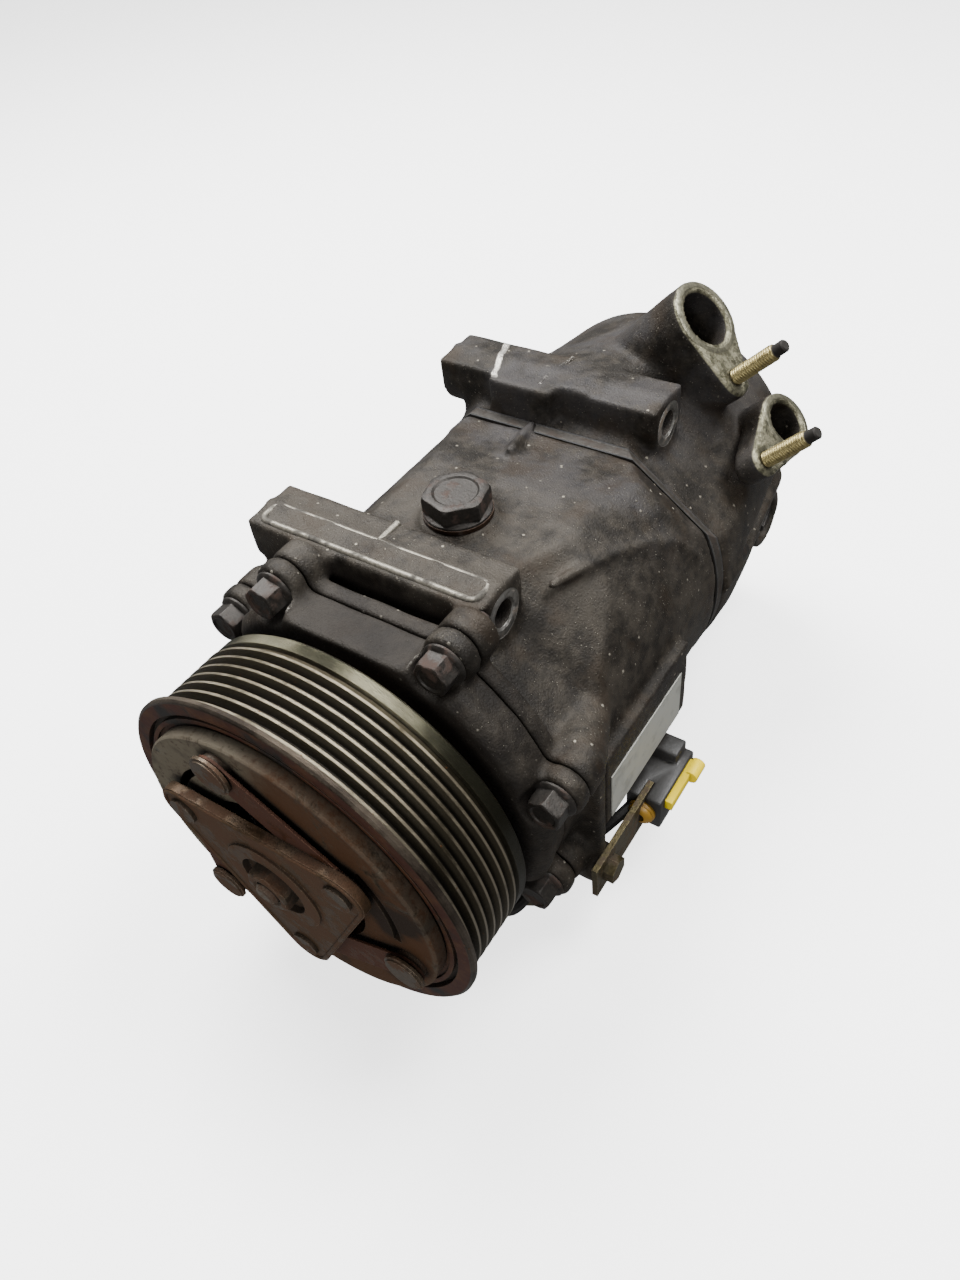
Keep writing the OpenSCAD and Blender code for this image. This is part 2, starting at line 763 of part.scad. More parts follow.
module connector_bracket() {
    foot = [bracket_x, bracket_y - 8, bracket_z - 7.5];
    color("darkkhaki") difference() {
        translate(foot) cube([bracket_t, connector_y - foot[1] + bracket_grip, 15]);
        rod_x(2.7, bracket_x - over, bracket_x + bracket_t + over, bracket_y, bracket_z);
    }
}

module bracket_screw() {
    color("silver") {
        translate([bracket_x + bracket_t, bracket_y, bracket_z]) rotate([0, 90, 0])
            cylinder(r = 8 / 2 / cos(30), h = 3.5, $fn = 6);
        rod_x(2.45, bracket_x - 10, bracket_x + 3, bracket_y, bracket_z);
    }
}

module connector_body() {
    color([0.12, 0.12, 0.12]) difference() {
        union() {
            translate([connector_x, connector_y, bracket_z - 7]) cube([connector_w, connector_l, 14]);
            translate([connector_x, connector_y + 18, bracket_z + 6]) cube([10, 8, 5]);
        }
        translate([connector_x + 2, connector_y + 10, bracket_z - 5])
            cube([connector_w - 4, connector_l, 10]);
        translate([bracket_x - run_gap, connector_y - over, bracket_z - 8])
            cube([bracket_t + 2 * run_gap, bracket_grip + over + run_gap, 16]);
    }
}

module connector_lock() {
    side_x = connector_x + connector_w + run_gap;
    color("gold") {
        translate([side_x, connector_y + 3, bracket_z + 2]) cube([2.6, 20, 4]);
        rod_y(2.6, connector_y + 17, connector_y + 24, side_x + 2.6, bracket_z + 4);
    }
}

module connector_pins() {
    color("silver")
        for (z = [-2, 2])
            translate([connector_x + 6, connector_y + 9.5, bracket_z + z - 0.4]) cube([0.8, 8, 0.8]);
}

module coil_lead() {
    color([0.1, 0.1, 0.1]) swept(smooth(lead_route, 4), lead_d / 2, lead_sides);
}

module lead_clip() {
    at = lead_route[5];
    a = atan2(at[2], at[0]);
    color("silver") difference() {
        translate([0, at[1] - 2.5, 0]) rotate([0, -a, 0])
            translate([flange_r - 1.3, 0, -4]) cube([norm([at[0], at[2]]) - flange_r + 5, 5, 8]);
        rod_y(flange_r - 0.2, at[1] - 5, at[1] + 5);
        swept(smooth(lead_route, 4), lead_d / 2 - 0.02, lead_sides);
    }
}

module coil_shell() {
    front = coil_front_y;
    color("darkgray") difference() {
        turned([[coil_seat_r + seat_gap, coil_back_y - coil_back_t], [coil_r_in, coil_back_y - coil_back_t],
            [coil_r_in, front], [coil_r_in + coil_wall, front],
            [coil_r_in + coil_wall, coil_back_y - coil_back_t],
            [coil_r_out - coil_wall, coil_back_y - coil_back_t],
            [coil_r_out - coil_wall, front], [coil_r_out, front], [coil_r_out, coil_back_y],
            [coil_seat_r + seat_gap, coil_back_y]]);
        rod_y(2.6, coil_back_y - coil_back_t - over, coil_back_y + over, lead_route[0][0], lead_route[0][2]);
    }
}

module coil_winding() {
    color("chocolate") tube(coil_r_in + coil_wall + 0.2, coil_r_out - coil_wall - 0.2,
        coil_front_y + 1, coil_back_y - coil_back_t - 0.1);
}

module coil_snap_ring() {
    color("silver") translate([0, coil_back_y - coil_back_t - circlip_t, 0]) rotate([-90, 0, 0])
        circlip(coil_seat_r - 0.9, coil_seat_r + 2.4, circlip_t - 0.05);
}

// ---- pulley and its bearing ----

module race(r_in, r_out) {
    difference() {
        tube(r_in, r_out, bearing_y, bearing_y + bearing_w);
        rotate([-90, 0, 0]) rotate_extrude()
            for (y = row_y)
                translate([race_r, y]) circle(r = ball_r + race_gap);
    }
}

module bearing_inner_ring() {
    color("silver") race(bearing_r_in + run_gap, bearing_r_in + ring_t);
}

module bearing_outer_ring() {
    color("silver") race(bearing_r_out - ring_t, bearing_r_out - run_gap);
}

// Angles of one row of balls; the second row is turned by half a step
function ball_angles(row) = [for (i = [0:ball_n - 1]) 360 * (i + row / 2) / ball_n];

module bearing_balls() {
    color("lightgray")
        for (row = [0, 1])
            around(race_r, ball_angles(row))
                translate([0, row_y[row], 0]) sphere(r = ball_r);
}

module bearing_cage() {
    half = ball_r + race_gap + cage_web;
    color("peru")
        for (row = [0, 1])
            difference() {
                tube(race_r - 0.9, race_r + 0.9, row_y[row] - half, row_y[row] + half);
                spun(ball_angles(row))
                    rod_x(ball_r + race_gap, race_r - 4, race_r + 4, row_y[row], 0);
            }
}

module bearing_circlip() {
    color("silver") translate([0, bearing_y - circlip_t, 0]) rotate([-90, 0, 0])
        circlip(bearing_r_in - 0.9, bearing_r_in + 2.2, circlip_t - 0.05);
}

// Points of the ribbed rim from the front flange to the back flange
function rib_points() = [
    for (i = [0:groove_n - 1])
        let (y = front_land + i * groove_pitch)
        each [[crest_r, y + crest_flat / 2],
            [crest_r - groove_depth, y + groove_pitch / 2 - root_flat / 2],
            [crest_r - groove_depth, y + groove_pitch / 2 + root_flat / 2],
            [crest_r, y + groove_pitch - crest_flat / 2]]];

module pulley() {
    last_y = front_land + groove_n * groove_pitch + crest_flat / 2;
    back_y = pulley_w - back_flange_w;
    tube_r = bearing_r_out + rotor_tube_t;
    web_y = friction_y + friction_t;
    color("slategray") difference() {
        turned(concat(
            [[bearing_r_out - rotor_lip, friction_y], [bead_r, friction_y],
                [bead_r, 0.3], [bead_r + 1.4, 0.3], [bead_r + 1.4, ring_groove_t],
                [bead_r + 1.4 + ring_groove_w, ring_groove_t], [bead_r + 1.4 + ring_groove_w, 0],
                [pulley_r - 0.8, 0], [pulley_r, 0.8], [pulley_r, 2],
                [crest_r, front_land - crest_flat / 2]],
            rib_points(),
            [[crest_r, last_y], [crest_r - 1.6, last_y + 0.5], [crest_r - 1.6, back_y - 0.6],
                [crest_r - 0.3, back_y], [crest_r - 0.3, pulley_w - 0.8], [crest_r - 1.1, pulley_w],
                [rim_r_in, pulley_w], [rim_r_in, web_y], [tube_r, web_y], [tube_r, rotor_tube_y],
                [bearing_r_out, rotor_tube_y], [bearing_r_out, bearing_y],
                [bearing_r_out - rotor_lip, bearing_y]]));
        tube(bearing_r_out - over, bearing_r_out + 0.9, bearing_y + bearing_w,
            bearing_y + bearing_w + circlip_t);
        for (slot = [[36, 0], [44, 30]])
            for (i = [0:5])
                rotate([-90, slot[1] + 60 * i, 0]) translate([0, 0, friction_y - over])
                    arc_slot(slot[0], 1.6, 44, friction_t + 2 * over);
    }
}

// Curved slot about the shaft axis, cut along +Z
module arc_slot(r, w, span, h) {
    rotate_extrude(angle = span) translate([r - w / 2, 0]) square([w, h]);
}

module pulley_circlip() {
    color("silver") translate([0, bearing_y + bearing_w, 0]) rotate([-90, 0, 0])
        circlip(bearing_r_out - 2.2, bearing_r_out + 0.8, circlip_t - 0.05);
}

// ---- armature, hub and shaft ----

function button_a() = [for (a = hub_corner_a) a + leaf_turn];

module armature_plate() {
    color("tan") difference() {
        turned([[armature_r_in, armature_y], [armature_d / 2 - 0.6, armature_y],
            [armature_d / 2, armature_y + 0.6], [armature_d / 2, armature_back_y],
            [armature_r_in, armature_back_y]]);
        for (a = hub_corner_a)
            rotate([-90, -a - 125, 0]) translate([0, 0, armature_y - over])
                arc_slot(39.5, 2.6, 44, armature_t + 2 * over);
        around(button_r, button_a())
            rod_y(rivet_r, armature_y - over, armature_back_y + over);
    }
}

module stop_buttons() {
    head_y = leaf_y - armature_travel - 0.05;
    color("silver") around(button_r, button_a()) {
        rod_y(button_d / 2 - 0.8, head_y - 1.6, head_y - 0.8);
        rod_y(button_d / 2, head_y - 1, head_y);
        rod_y(rivet_r - 0.02, head_y - 0.5, armature_back_y - 0.1);
        rod_y(5, leaf_y + leaf_t, armature_y);
    }
}

module leaf_springs() {
    color("chocolate")
        for (a = hub_corner_a)
            difference() {
                cross(leaf_y, leaf_y + leaf_t)
                    link(polar(hub_corner_r, a), leaf_w / 2,
                        polar(button_r, a + leaf_turn), leaf_w / 2 - 0.8);
                around(hub_corner_r, [a]) rod_y(rivet_r, leaf_y - over, leaf_y + leaf_t + over);
                around(button_r, [a + leaf_turn])
                    rod_y(rivet_r + rivet_gap, leaf_y - over, leaf_y + leaf_t + over);
            }
}

module hub() {
    color("tan") difference() {
        union() {
            cross(hub_plate_y, hub_plate_y + hub_plate_t)
                tri(hub_corner_r, hub_corner_rc, hub_corner_a);
            rod_y(17, hub_plate_y - 0.9, hub_plate_y + 1);
            rod_y(10.5, hub_plate_y + 1, shaft_step_y - 2 * shim_t);
        }
        rod_y(11.5, hub_plate_y - 2, nut_seat_y);
        rod_y(thread_r + 0.2, hub_plate_y - 2, 0);
        rod_y(spline_r, -2, shaft_step_y);
        around(hub_corner_r, hub_corner_a)
            rod_y(rivet_r, hub_plate_y - over, leaf_y + over);
    }
}

module hub_rivets() {
    color("peru") around(hub_corner_r, hub_corner_a) {
        rod_y(rivet_r - 0.02, hub_plate_y - 0.5, leaf_y + leaf_t + 0.5);
        rod_y(4.6, hub_plate_y - 1.2, hub_plate_y);
        rod_y(4.2, leaf_y + leaf_t, leaf_y + leaf_t + 1);
    }
}

module shaft_nut() {
    color("tan") difference() {
        rod_y(nut_af / 2 / cos(30), nut_seat_y - nut_t, nut_seat_y, sides = 6);
        rod_y(thread_r + 0.05, nut_seat_y - nut_t - over, nut_seat_y + over);
    }
}

module shims() {
    color("silver")
        for (i = [0, 1])
            tube(spline_r + 0.1, 9.6, shaft_step_y - (i + 1) * shim_t + run_gap, shaft_step_y - i * shim_t);
}

module shaft() {
    color("silver") turned([[0, nut_seat_y - nut_t - 1], [thread_r - 0.8, nut_seat_y - nut_t - 1],
        [thread_r, nut_seat_y - nut_t], [thread_r, -1.8], [spline_r - 0.02, -1.8],
        [spline_r - 0.02, shaft_step_y], [shaft_r, shaft_step_y], [shaft_r, shaft_end_y - 1],
        [shaft_r - 1, shaft_end_y], [0, shaft_end_y]]);
}

module shaft_seal() {
    color([0.15, 0.15, 0.15]) tube(shaft_r + run_gap, seal_r - 0.05, seal_y, seal_y + seal_w - 0.1);
}

module seal_circlip() {
    color("silver") translate([0, seal_y - circlip_t, 0]) rotate([-90, 0, 0])
        circlip(seal_r - 2, seal_r + 0.8, circlip_t - 0.05);
}

module bearing_cup(y) {
    tube(cup_r_in, cup_r_out - 0.02, y, y + needle_w);
}

module front_bearing_cup() {
    color("lightgray") bearing_cup(front_needle_y);
}

module rear_bearing_cup() {
    color("lightgray") bearing_cup(rear_needle_y);
}

// Rollers of one needle bearing, joined by the two end rings of their cage
module rollers(y) {
    ring_y = [y + 0.6, y + needle_w - 2.2];
    around(needle_ring_r, [for (i = [0:needle_n - 1]) 360 * i / needle_n])
        rod_y(needle_r - run_gap, y + 1, y + needle_w - 1);
    for (r_y = ring_y)
        tube(needle_ring_r - 0.6, needle_ring_r + 0.6, r_y, r_y + 1.6);
}

module front_bearing_rollers() {
    color("silver") rollers(front_needle_y);
}

module rear_bearing_rollers() {
    color("silver") rollers(rear_needle_y);
}

// ---- swash-plate drive ----

module thrust_washer() {
    color("lightgray") tube(14, 26, front_joint_y, thrust_y + thrust_t);
}

module drive_plate() {
    color("gray") difference() {
        union() {
            rod_y(drive_r, drive_y, drive_y + drive_t);
            rod_y(14, drive_y, drive_y + drive_t + 4);
            for (x = [-12, 6.5])
                translate([x, drive_y + 2, hinge_z - 6]) cube([5.5, hinge_y - drive_y + 3, 11]);
        }
        rod_y(shaft_r, drive_y - over, drive_y + 30);
        rod_x(hinge_r, -15, 15, hinge_y, hinge_z);
    }
}

module hinge_pin() {
    color("silver") rod_x(hinge_r - 0.02, -13, 13, hinge_y, hinge_z);
}

module swash_plate() {
    hub_r = 14;
    color("lightgray") difference() {
        union() {
            rod_y(swash_r, swash_y - swash_t / 2, swash_y + swash_t / 2);
            rod_y(hub_r, swash_y - 8, swash_y + 9);
            translate([-6, hinge_y - 4, hinge_z - 5]) cube([12, swash_y - hinge_y + 2, 9]);
        }
        rod_y(shaft_r + 0.1, swash_y - 20, swash_y + 20);
        rod_x(hinge_r + 0.05, -15, 15, hinge_y, hinge_z);
    }
}

module swash_spring() {
    y0 = drive_y + drive_t + 5;
    y1 = swash_y - 9;
    turns = 3;
    steps = 20;
    r = shaft_r + 1.9;
    coil = [for (i = [0:turns * steps])
        [r * cos(360 * i / steps), y0 + (y1 - y0) * i / (turns * steps), r * sin(360 * i / steps)]];
    color("silver") swept(coil, 0.8, 8);
}

module pistons() {
    slot = swash_t / 2 + 0.6;
    color("silver") spun(cylinder_angles())
        difference() {
            union() {
                rod_y(piston_r, block_y - 8, block_rear_y - 2.6, cylinder_r);
                intersection() {
                    translate([yoke_r_in, swash_y - yoke_lip, -piston_w / 2])
                        cube([40, block_y - 8 + yoke_lip - swash_y + tuck, piston_w]);
                    rod_y(yoke_r, swash_y - 20, block_y);
                }
            }
            rod_y(swash_r + 1.4, swash_y - slot, swash_y + slot);
            translate([cylinder_r, swash_y, 0]) sphere(r = shoe_r + shoe_gap / 2);
        }
}

module piston_shoes() {
    flat = swash_t / 2 + shoe_gap;
    color("silver") spun(cylinder_angles())
        difference() {
            translate([cylinder_r, swash_y, 0]) sphere(r = shoe_r);
            translate([cylinder_r - 15, swash_y - flat, -15]) cube([30, 2 * flat, 30]);
            for (y = [swash_y - 15, swash_y + 8])
                translate([cylinder_r - 15, y, -15]) cube([30, 7, 30]);
        }
}

module shaft_adjuster() {
    color("silver") difference() {
        rod_y(cup_r_out - 0.05, shaft_end_y + 0.4, shaft_end_y + 8);
        translate([-8, shaft_end_y + 6, -1]) cube([16, 4, 2]);
    }
}

// ---- the nodes ----

place() crankcase();
place() front_housing();
place() rear_head();
place() front_o_ring();
place() block_gasket();
place() suction_reeds();
place() valve_plate();
place() discharge_reeds();
place() head_gasket();
place() front_bolts();
place() rear_bolts();
place() oil_plug();
place() oil_plug_washer();
place() port_studs();
place() label_plate();
place() relief_valve();
place() control_valve();
place() control_valve_circlip();
place() connector_bracket();
place() bracket_screw();
place() connector_body();
place() connector_lock();
place() connector_pins();
place() coil_lead();
place() lead_clip();
place() coil_shell();
place() coil_winding();
place() coil_snap_ring();
place() bearing_inner_ring();
place() bearing_circlip();
place() bearing_outer_ring();
place() bearing_balls();
place() bearing_cage();
place() pulley();
place() pulley_circlip();
place() armature_plate();
place() stop_buttons();
place() leaf_springs();
place() hub();
place() hub_rivets();
place() shaft_nut();
place() shims();
place() shaft();
place() shaft_seal();
place() seal_circlip();
place() front_bearing_cup();
place() front_bearing_rollers();
place() rear_bearing_cup();
place() rear_bearing_rollers();
place() thrust_washer();
place() drive_plate();
place() hinge_pin();
place() swash_plate();
place() swash_spring();
place() pistons();
place() piston_shoes();
place() shaft_adjuster();
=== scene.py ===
import math

import bmesh
import bpy
import numpy as np
from mathutils import Matrix, Vector


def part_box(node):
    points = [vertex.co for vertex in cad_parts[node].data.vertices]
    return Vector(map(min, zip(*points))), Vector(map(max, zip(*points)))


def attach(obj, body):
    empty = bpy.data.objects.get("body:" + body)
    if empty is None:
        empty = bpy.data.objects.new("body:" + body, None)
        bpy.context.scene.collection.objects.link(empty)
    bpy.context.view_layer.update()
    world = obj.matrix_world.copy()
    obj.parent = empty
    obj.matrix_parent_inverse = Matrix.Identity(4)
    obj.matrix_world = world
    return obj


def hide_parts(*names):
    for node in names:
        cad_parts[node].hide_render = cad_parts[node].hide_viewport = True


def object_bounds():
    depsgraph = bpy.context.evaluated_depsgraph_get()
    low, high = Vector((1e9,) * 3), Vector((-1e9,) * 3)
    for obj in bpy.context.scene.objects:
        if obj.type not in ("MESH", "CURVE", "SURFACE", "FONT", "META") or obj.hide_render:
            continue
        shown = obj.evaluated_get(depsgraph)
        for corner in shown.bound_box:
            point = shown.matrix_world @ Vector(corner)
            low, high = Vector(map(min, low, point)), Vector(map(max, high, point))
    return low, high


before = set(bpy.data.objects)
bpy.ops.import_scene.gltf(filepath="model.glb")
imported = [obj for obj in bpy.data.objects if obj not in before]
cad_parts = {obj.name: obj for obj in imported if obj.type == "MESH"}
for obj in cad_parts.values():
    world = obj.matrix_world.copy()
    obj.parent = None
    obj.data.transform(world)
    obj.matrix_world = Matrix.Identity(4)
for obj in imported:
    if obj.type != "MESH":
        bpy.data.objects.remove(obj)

bl_info = {
    "name": "Belt-driven compressor looks",
    "version": (1, 0, 0),
    "blender": (4, 5, 0),
    "location": "3D View > Sidebar > Compressor",
    "description": "Builds the skins, small details and finishes of a compressor with its clutch",
    "category": "Add Mesh",
}

CAD_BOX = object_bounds()
MM = 0.001
DIAGONAL = math.sqrt(0.5)
# Stations along the shaft are counted from the pulley's front face, in millimetres.
TRACK_Y = 14.08
FRONT_LUG, REAR_LUG = 72.8, 177.0
LUG_Z, LOW_LUG_Z = 50.6, -56.0
LUG_BORES = ((FRONT_LUG, LUG_Z), (REAR_LUG, LUG_Z), (FRONT_LUG, LOW_LUG_Z), (REAR_LUG, LOW_LUG_Z))
LUG_TOP = LUG_Z + 9.4
LUG_X = (-57.1, 30.4)
FRONT_BOLTS = (16, 62, 118, 145, 196, 240, 285, 330)
# The bolts beside the lugs have no root behind them.
LUG_SIDE_BOLTS = (62, 118, 240, 285)
FRONT_BOLT_R, FRONT_BOLT_SEAT = 64.0, 45.5
BOLT_AF, BOLT_HEAD, BOLT_FLANGE_R = 10, 7.4, 6.7
PLUG_AF, PLUG_HEAD, PLUG_FLANGE_R = 19, 7.1, 10.9
NUT_HALF_AF = 7.0
# Each corner of the hub plate is an arc about a point at this radius.
HUB_CORNERS = (33, 153, 273)
HUB_CORNER_R, HUB_ARC_R = 34, 7.4
# Ports: across, station, bore radius, outer radius. Studs: across, station.
PORTS = ((-31.6, 210.0, 10.0, 14.2), (14.8, 210.0, 7.7, 11.6))
STUDS = ((-10.1, 202.6), (16.8, 188.0))
PORT_FACE = 71.0
STUD_R, STUD_ROOT_R = 2.95, 2.45
# In metres: the belt track's pitch, how far out the studs turn black, and the stage.
RIB_PITCH = 0.00356
STUD_DARK_TIP = 0.0885
FLOOR_HALF, FLOOR_GLOW, WORLD_LIGHT = 5.0, 2.4, 0.3
LIT_POINT = (0, 0.1, 0)
LIGHTS = (("key", (-0.55, 0.35, 1.0), 0.7, 1.0), ("top", (0.35, 0.5, 0.9), 0.5, 0.5),
          ("front", (0.5, -0.9, 0.55), 0.5, 0.22))
CAMERA_PLACE = (0.1459, -0.0946, 0.2378)
CAMERA_FORWARD, CAMERA_UP = (-0.443, 0.541, -0.715), (-0.339, 0.637, 0.692)


def at(x, y, z):
    """A point given in millimetres, with y counted from the pulley's front face."""
    return Vector((x, y - TRACK_Y, z)) * MM


def turned(degrees, radius):
    """Across and up, for an angle about the shaft axis."""
    a = math.radians(degrees)
    return radius * math.cos(a), radius * math.sin(a)


def port_point(p, q, y):
    """A point in the ports' frame: p outwards, q across, y along the shaft."""
    return at(DIAGONAL * (p + q), y, DIAGONAL * (p - q))


# ---- settings ----

def number(name, text, value, unit="LENGTH"):
    return bpy.props.FloatProperty(name=name, description=text, default=value, unit=unit,
                                   precision=5)


def colour(name, text, value):
    return bpy.props.FloatVectorProperty(name=name, description=text, default=value, size=3,
                                         subtype="COLOR", min=0, max=1)


class CastingSettings(bpy.types.PropertyGroup):
    voxel: number("Grain size", "Edge length of the castings' rebuilt skin", 0.001)
    passes: bpy.props.IntProperty(name="Rounding", default=8,
                                  description="Passes that round the castings' corners")
    dark: colour("Dark metal", "Colour of the grimy metal", (0.0098, 0.0078, 0.0056))
    pale: colour("Pale metal", "Colour of the cleaner metal", (0.042, 0.035, 0.0265))
    worn: colour("Worn metal", "Colour of chipped edges", (0.52, 0.49, 0.44))


class PulleySettings(bpy.types.PropertyGroup):
    crest: colour("Crests", "Colour of the polished rib crests", (0.27, 0.235, 0.17))
    groove: colour("Grooves", "Colour of the grooves' floor", (0.016, 0.0135, 0.0085))
    rust: colour("Rust", "Colour of the rusted face", (0.042, 0.0105, 0.004))


class ClutchSettings(bpy.types.PropertyGroup):
    plate: colour("Plate", "Colour of the armature plate", (0.1, 0.092, 0.066))
    strap: colour("Straps", "Colour of the leaf springs", (0.085, 0.027, 0.0075))
    rust: colour("Rust", "Colour of the rust bloom", (0.062, 0.0255, 0.0085))


class TrimSettings(bpy.types.PropertyGroup):
    lock: colour("Lock", "Colour of the connector's lock", (0.86, 0.64, 0.0))
    label: colour("Label", "Colour of the blank label", (0.36, 0.36, 0.325))
    zinc: colour("Zinc", "Colour of the yellow zinc plating", (0.4, 0.33, 0.15))
    bead: number("Bead", "Radius of the raised beads on the lugs", 0.0011)


class StageSettings(bpy.types.PropertyGroup):
    lens: number("Lens", "Focal length of the camera", 26.83, "CAMERA")
    key: number("Key light", "Power of the large soft light", 35.0, "NONE")
    floor: colour("Floor", "Colour of the floor", (0.9, 0.9, 0.9))


# ---- node graphs ----

class Value:
    """A node's output that Python expressions can use."""

    def __init__(self, graph, socket):
        self.graph, self.socket = graph, socket

    def join(self, operation, first, second):
        return self.graph.add("ShaderNodeMath", {"operation": operation}, {0: first, 1: second})

    def __add__(self, other):
        return self.join("ADD", self, other)

    def __mul__(self, other):
        return self.join("MULTIPLY", self, other)

    def __sub__(self, other):
        return self.join("SUBTRACT", self, other)

    def __rsub__(self, other):
        return self.join("SUBTRACT", other, self)

    def __truediv__(self, other):
        return self.join("DIVIDE", self, other)

    def __pow__(self, other):
        return self.join("POWER", self, other)

    __radd__, __rmul__ = __add__, __mul__


class Graph:
    """A node tree that is filled by code."""

    def __init__(self, tree):
        self.tree = tree

    def add(self, kind, settings=None, sockets=None, out=0):
        node = self.tree.nodes.new(kind)
        for key, value in (settings or {}).items():
            setattr(node, key, value)
        for key, value in (sockets or {}).items():
            if isinstance(value, Value):
                self.tree.links.new(value.socket, node.inputs[key])
            else:
                node.inputs[key].default_value = value
        return Value(self, node.outputs[out])


class Finish(Graph):
    """One procedural material."""

    def __init__(self, name, **constants):
        self.material = bpy.data.materials.new(name)
        self.material.use_nodes = True
        super().__init__(self.material.node_tree)
        self.shader = self.tree.nodes["Principled BSDF"]
        for key, value in constants.items():
            self.shader.inputs[key.replace("_", " ")].default_value = value
        self.place = self.add("ShaderNodeTexCoord", out="Object")
        split = self.tree.nodes.new("ShaderNodeSeparateXYZ")
        self.tree.links.new(self.place.socket, split.inputs[0])
        self.x, self.y, self.z = (Value(self, s) for s in split.outputs)

    def radius(self, y=None, z=None):
        """Distance from the shaft axis, or from the axis along X through y and z."""
        a, b = (self.x, self.z) if y is None else (self.y - y, self.z - z)
        return (a * a + b * b) ** 0.5

    def stretch(self, x, y, z):
        return self.add("ShaderNodeMapping", None, {"Vector": self.place, "Scale": (x, y, z)})

    def noise(self, scale, detail=4.0, rough=0.55, where=None, distortion=0.0):
        return self.add("ShaderNodeTexNoise", None, {
            "Vector": where or self.place, "Scale": scale, "Detail": detail, "Roughness": rough,
            "Distortion": distortion})

    def cells(self, scale):
        return self.add("ShaderNodeTexVoronoi", None, {"Vector": self.place, "Scale": scale})

    def fade(self, value, low, high):
        """0 below low, 1 above high, smooth between; it falls instead where low is above high."""
        flip = low > high
        low, high = (high, low) if flip else (low, high)
        return self.add("ShaderNodeMapRange", {"interpolation_type": "SMOOTHSTEP"},
                        {"Value": value, "From Min": low, "From Max": high,
                         "To Min": float(flip), "To Max": float(not flip)})

    def mix(self, factor, first, second):
        first, second = ((*c, 1.0) if isinstance(c, tuple) else c for c in (first, second))
        return self.add("ShaderNodeMix", {"data_type": "RGBA"},
                        {0: factor, 6: first, 7: second}, out=2)

    def blend(self, factor, first, second):
        return self.add("ShaderNodeMix", {"data_type": "FLOAT"}, {0: factor, 2: first, 3: second})

    def larger(self, first, second):
        return self.add("ShaderNodeMath", {"operation": "MAXIMUM"}, {0: first, 1: second})

    def open_air(self, distance):
        """1 on open faces, towards 0 in corners and under ledges."""
        return self.add("ShaderNodeAmbientOcclusion", {"samples": 6}, {"Distance": distance},
                        out="AO")

    def corner(self, width):
        """(rounded normal, 0 on flat faces to 1 on outer and inner edges)"""
        soft = self.add("ShaderNodeBevel", {"samples": 6}, {"Radius": width})
        hard = self.add("ShaderNodeNewGeometry", out="Normal")
        dot = self.add("ShaderNodeVectorMath", {"operation": "DOT_PRODUCT"}, {0: soft, 1: hard},
                       out="Value")
        return soft, 1.0 - dot

    def finish(self, colour_value, rough, metallic, height=None, depth=0.0002, normal=None):
        """Feeds the shader and returns the material; height is bumped by depth over the normal."""
        links = {"Base Color": colour_value, "Roughness": rough, "Metallic": metallic}
        if height is not None:
            sockets = {"Height": height, "Distance": depth, "Strength": 1.0}
            if normal is not None:
                sockets["Normal"] = normal
            normal = self.add("ShaderNodeBump", None, sockets)
        if normal is not None:
            links["Normal"] = normal
        for key, value in links.items():
            if isinstance(value, Value):
                self.tree.links.new(value.socket, self.shader.inputs[key])
            elif isinstance(value, tuple):
                self.shader.inputs[key].default_value = (*value, 1.0)
            else:
                self.shader.inputs[key].default_value = value
        return self.material


# ---- finishes ----

def steel(name, base, rust, rough=0.35, rusty=0.4, corner_shade=0.5, scale=1.0, edge=0.0004,
          metallic=0.9, tip=None):
    """Bare or plated metal with rust bloom, painted shade in its corners and bright worn edges.

    Past tip, measured outwards along the ports' axis, it is all grime.
    """
    f = Finish(name)
    normal, edges = f.corner(edge)
    bloom = f.fade(f.noise(140 * scale, 6, 0.62), 0.62 - 0.28 * rusty, 0.78 - 0.28 * rusty)
    streak = f.noise(900 * scale, 3, 0.6)
    # painted shade: the metal is darkened in corners and under ledges, where shade falls
    shade_and_grime = f.fade(f.open_air(0.006), 0.85, 0.25) * corner_shade
    tint = f.mix(f.fade(streak, 0.3, 0.75), tuple(c * 0.6 for c in base), base)
    tint = f.mix(bloom * (0.35 + streak), tint, rust)
    tint = f.mix(f.fade(edges, 0.04, 0.2) * f.fade(streak, 0.35, 0.6), tint,
                 tuple(min(1, c * 1.8 + 0.04) for c in base))
    if tip:
        shade_and_grime = f.larger(shade_and_grime, f.fade((f.x + f.z) * DIAGONAL, tip, tip + 0.0006))
    # mixes in the painted shade of the corners, and past tip the black stud ends
    tint = f.mix(shade_and_grime, tint, (0.008, 0.006, 0.004))
    dull = f.fade(bloom + shade_and_grime, 0.1, 0.9)
    return f.finish(tint, f.blend(dull, rough + 0.15 * streak, 0.8), f.blend(dull, metallic, 0.15),
                    streak + 0.8 * bloom, 0.00012, normal)


def rubbery(name, base, rough=0.6, gloss=0.0, dusty=0.5):
    """Rubber or moulded plastic with dust and fine grain."""
    f = Finish(name, Coat_Weight=gloss, Coat_Roughness=0.3, Specular_IOR_Level=0.3)
    normal, edges = f.corner(0.0004)
    grain = f.noise(2200, 3)
    dust = f.fade(f.noise(160, 6, 0.65), 0.46, 0.7)
    # painted shade: darker in corners and recesses, where shade falls
    shade_and_grime = f.fade(f.open_air(0.004), 0.8, 0.3)
    tint = f.mix(dust * dusty, base, tuple(0.6 * c + 0.03 for c in base))
    tint = f.mix(f.fade(edges, 0.05, 0.3) * grain, tint,
                 tuple(min(1, c * 1.3 + 0.03) for c in base))
    tint = f.mix(shade_and_grime * 0.7, tint, (0.012, 0.009, 0.006))
    return f.finish(tint, f.blend(dust, rough, min(1, rough + 0.2)), 0.0, grain + dust, 0.00005,
                    normal)


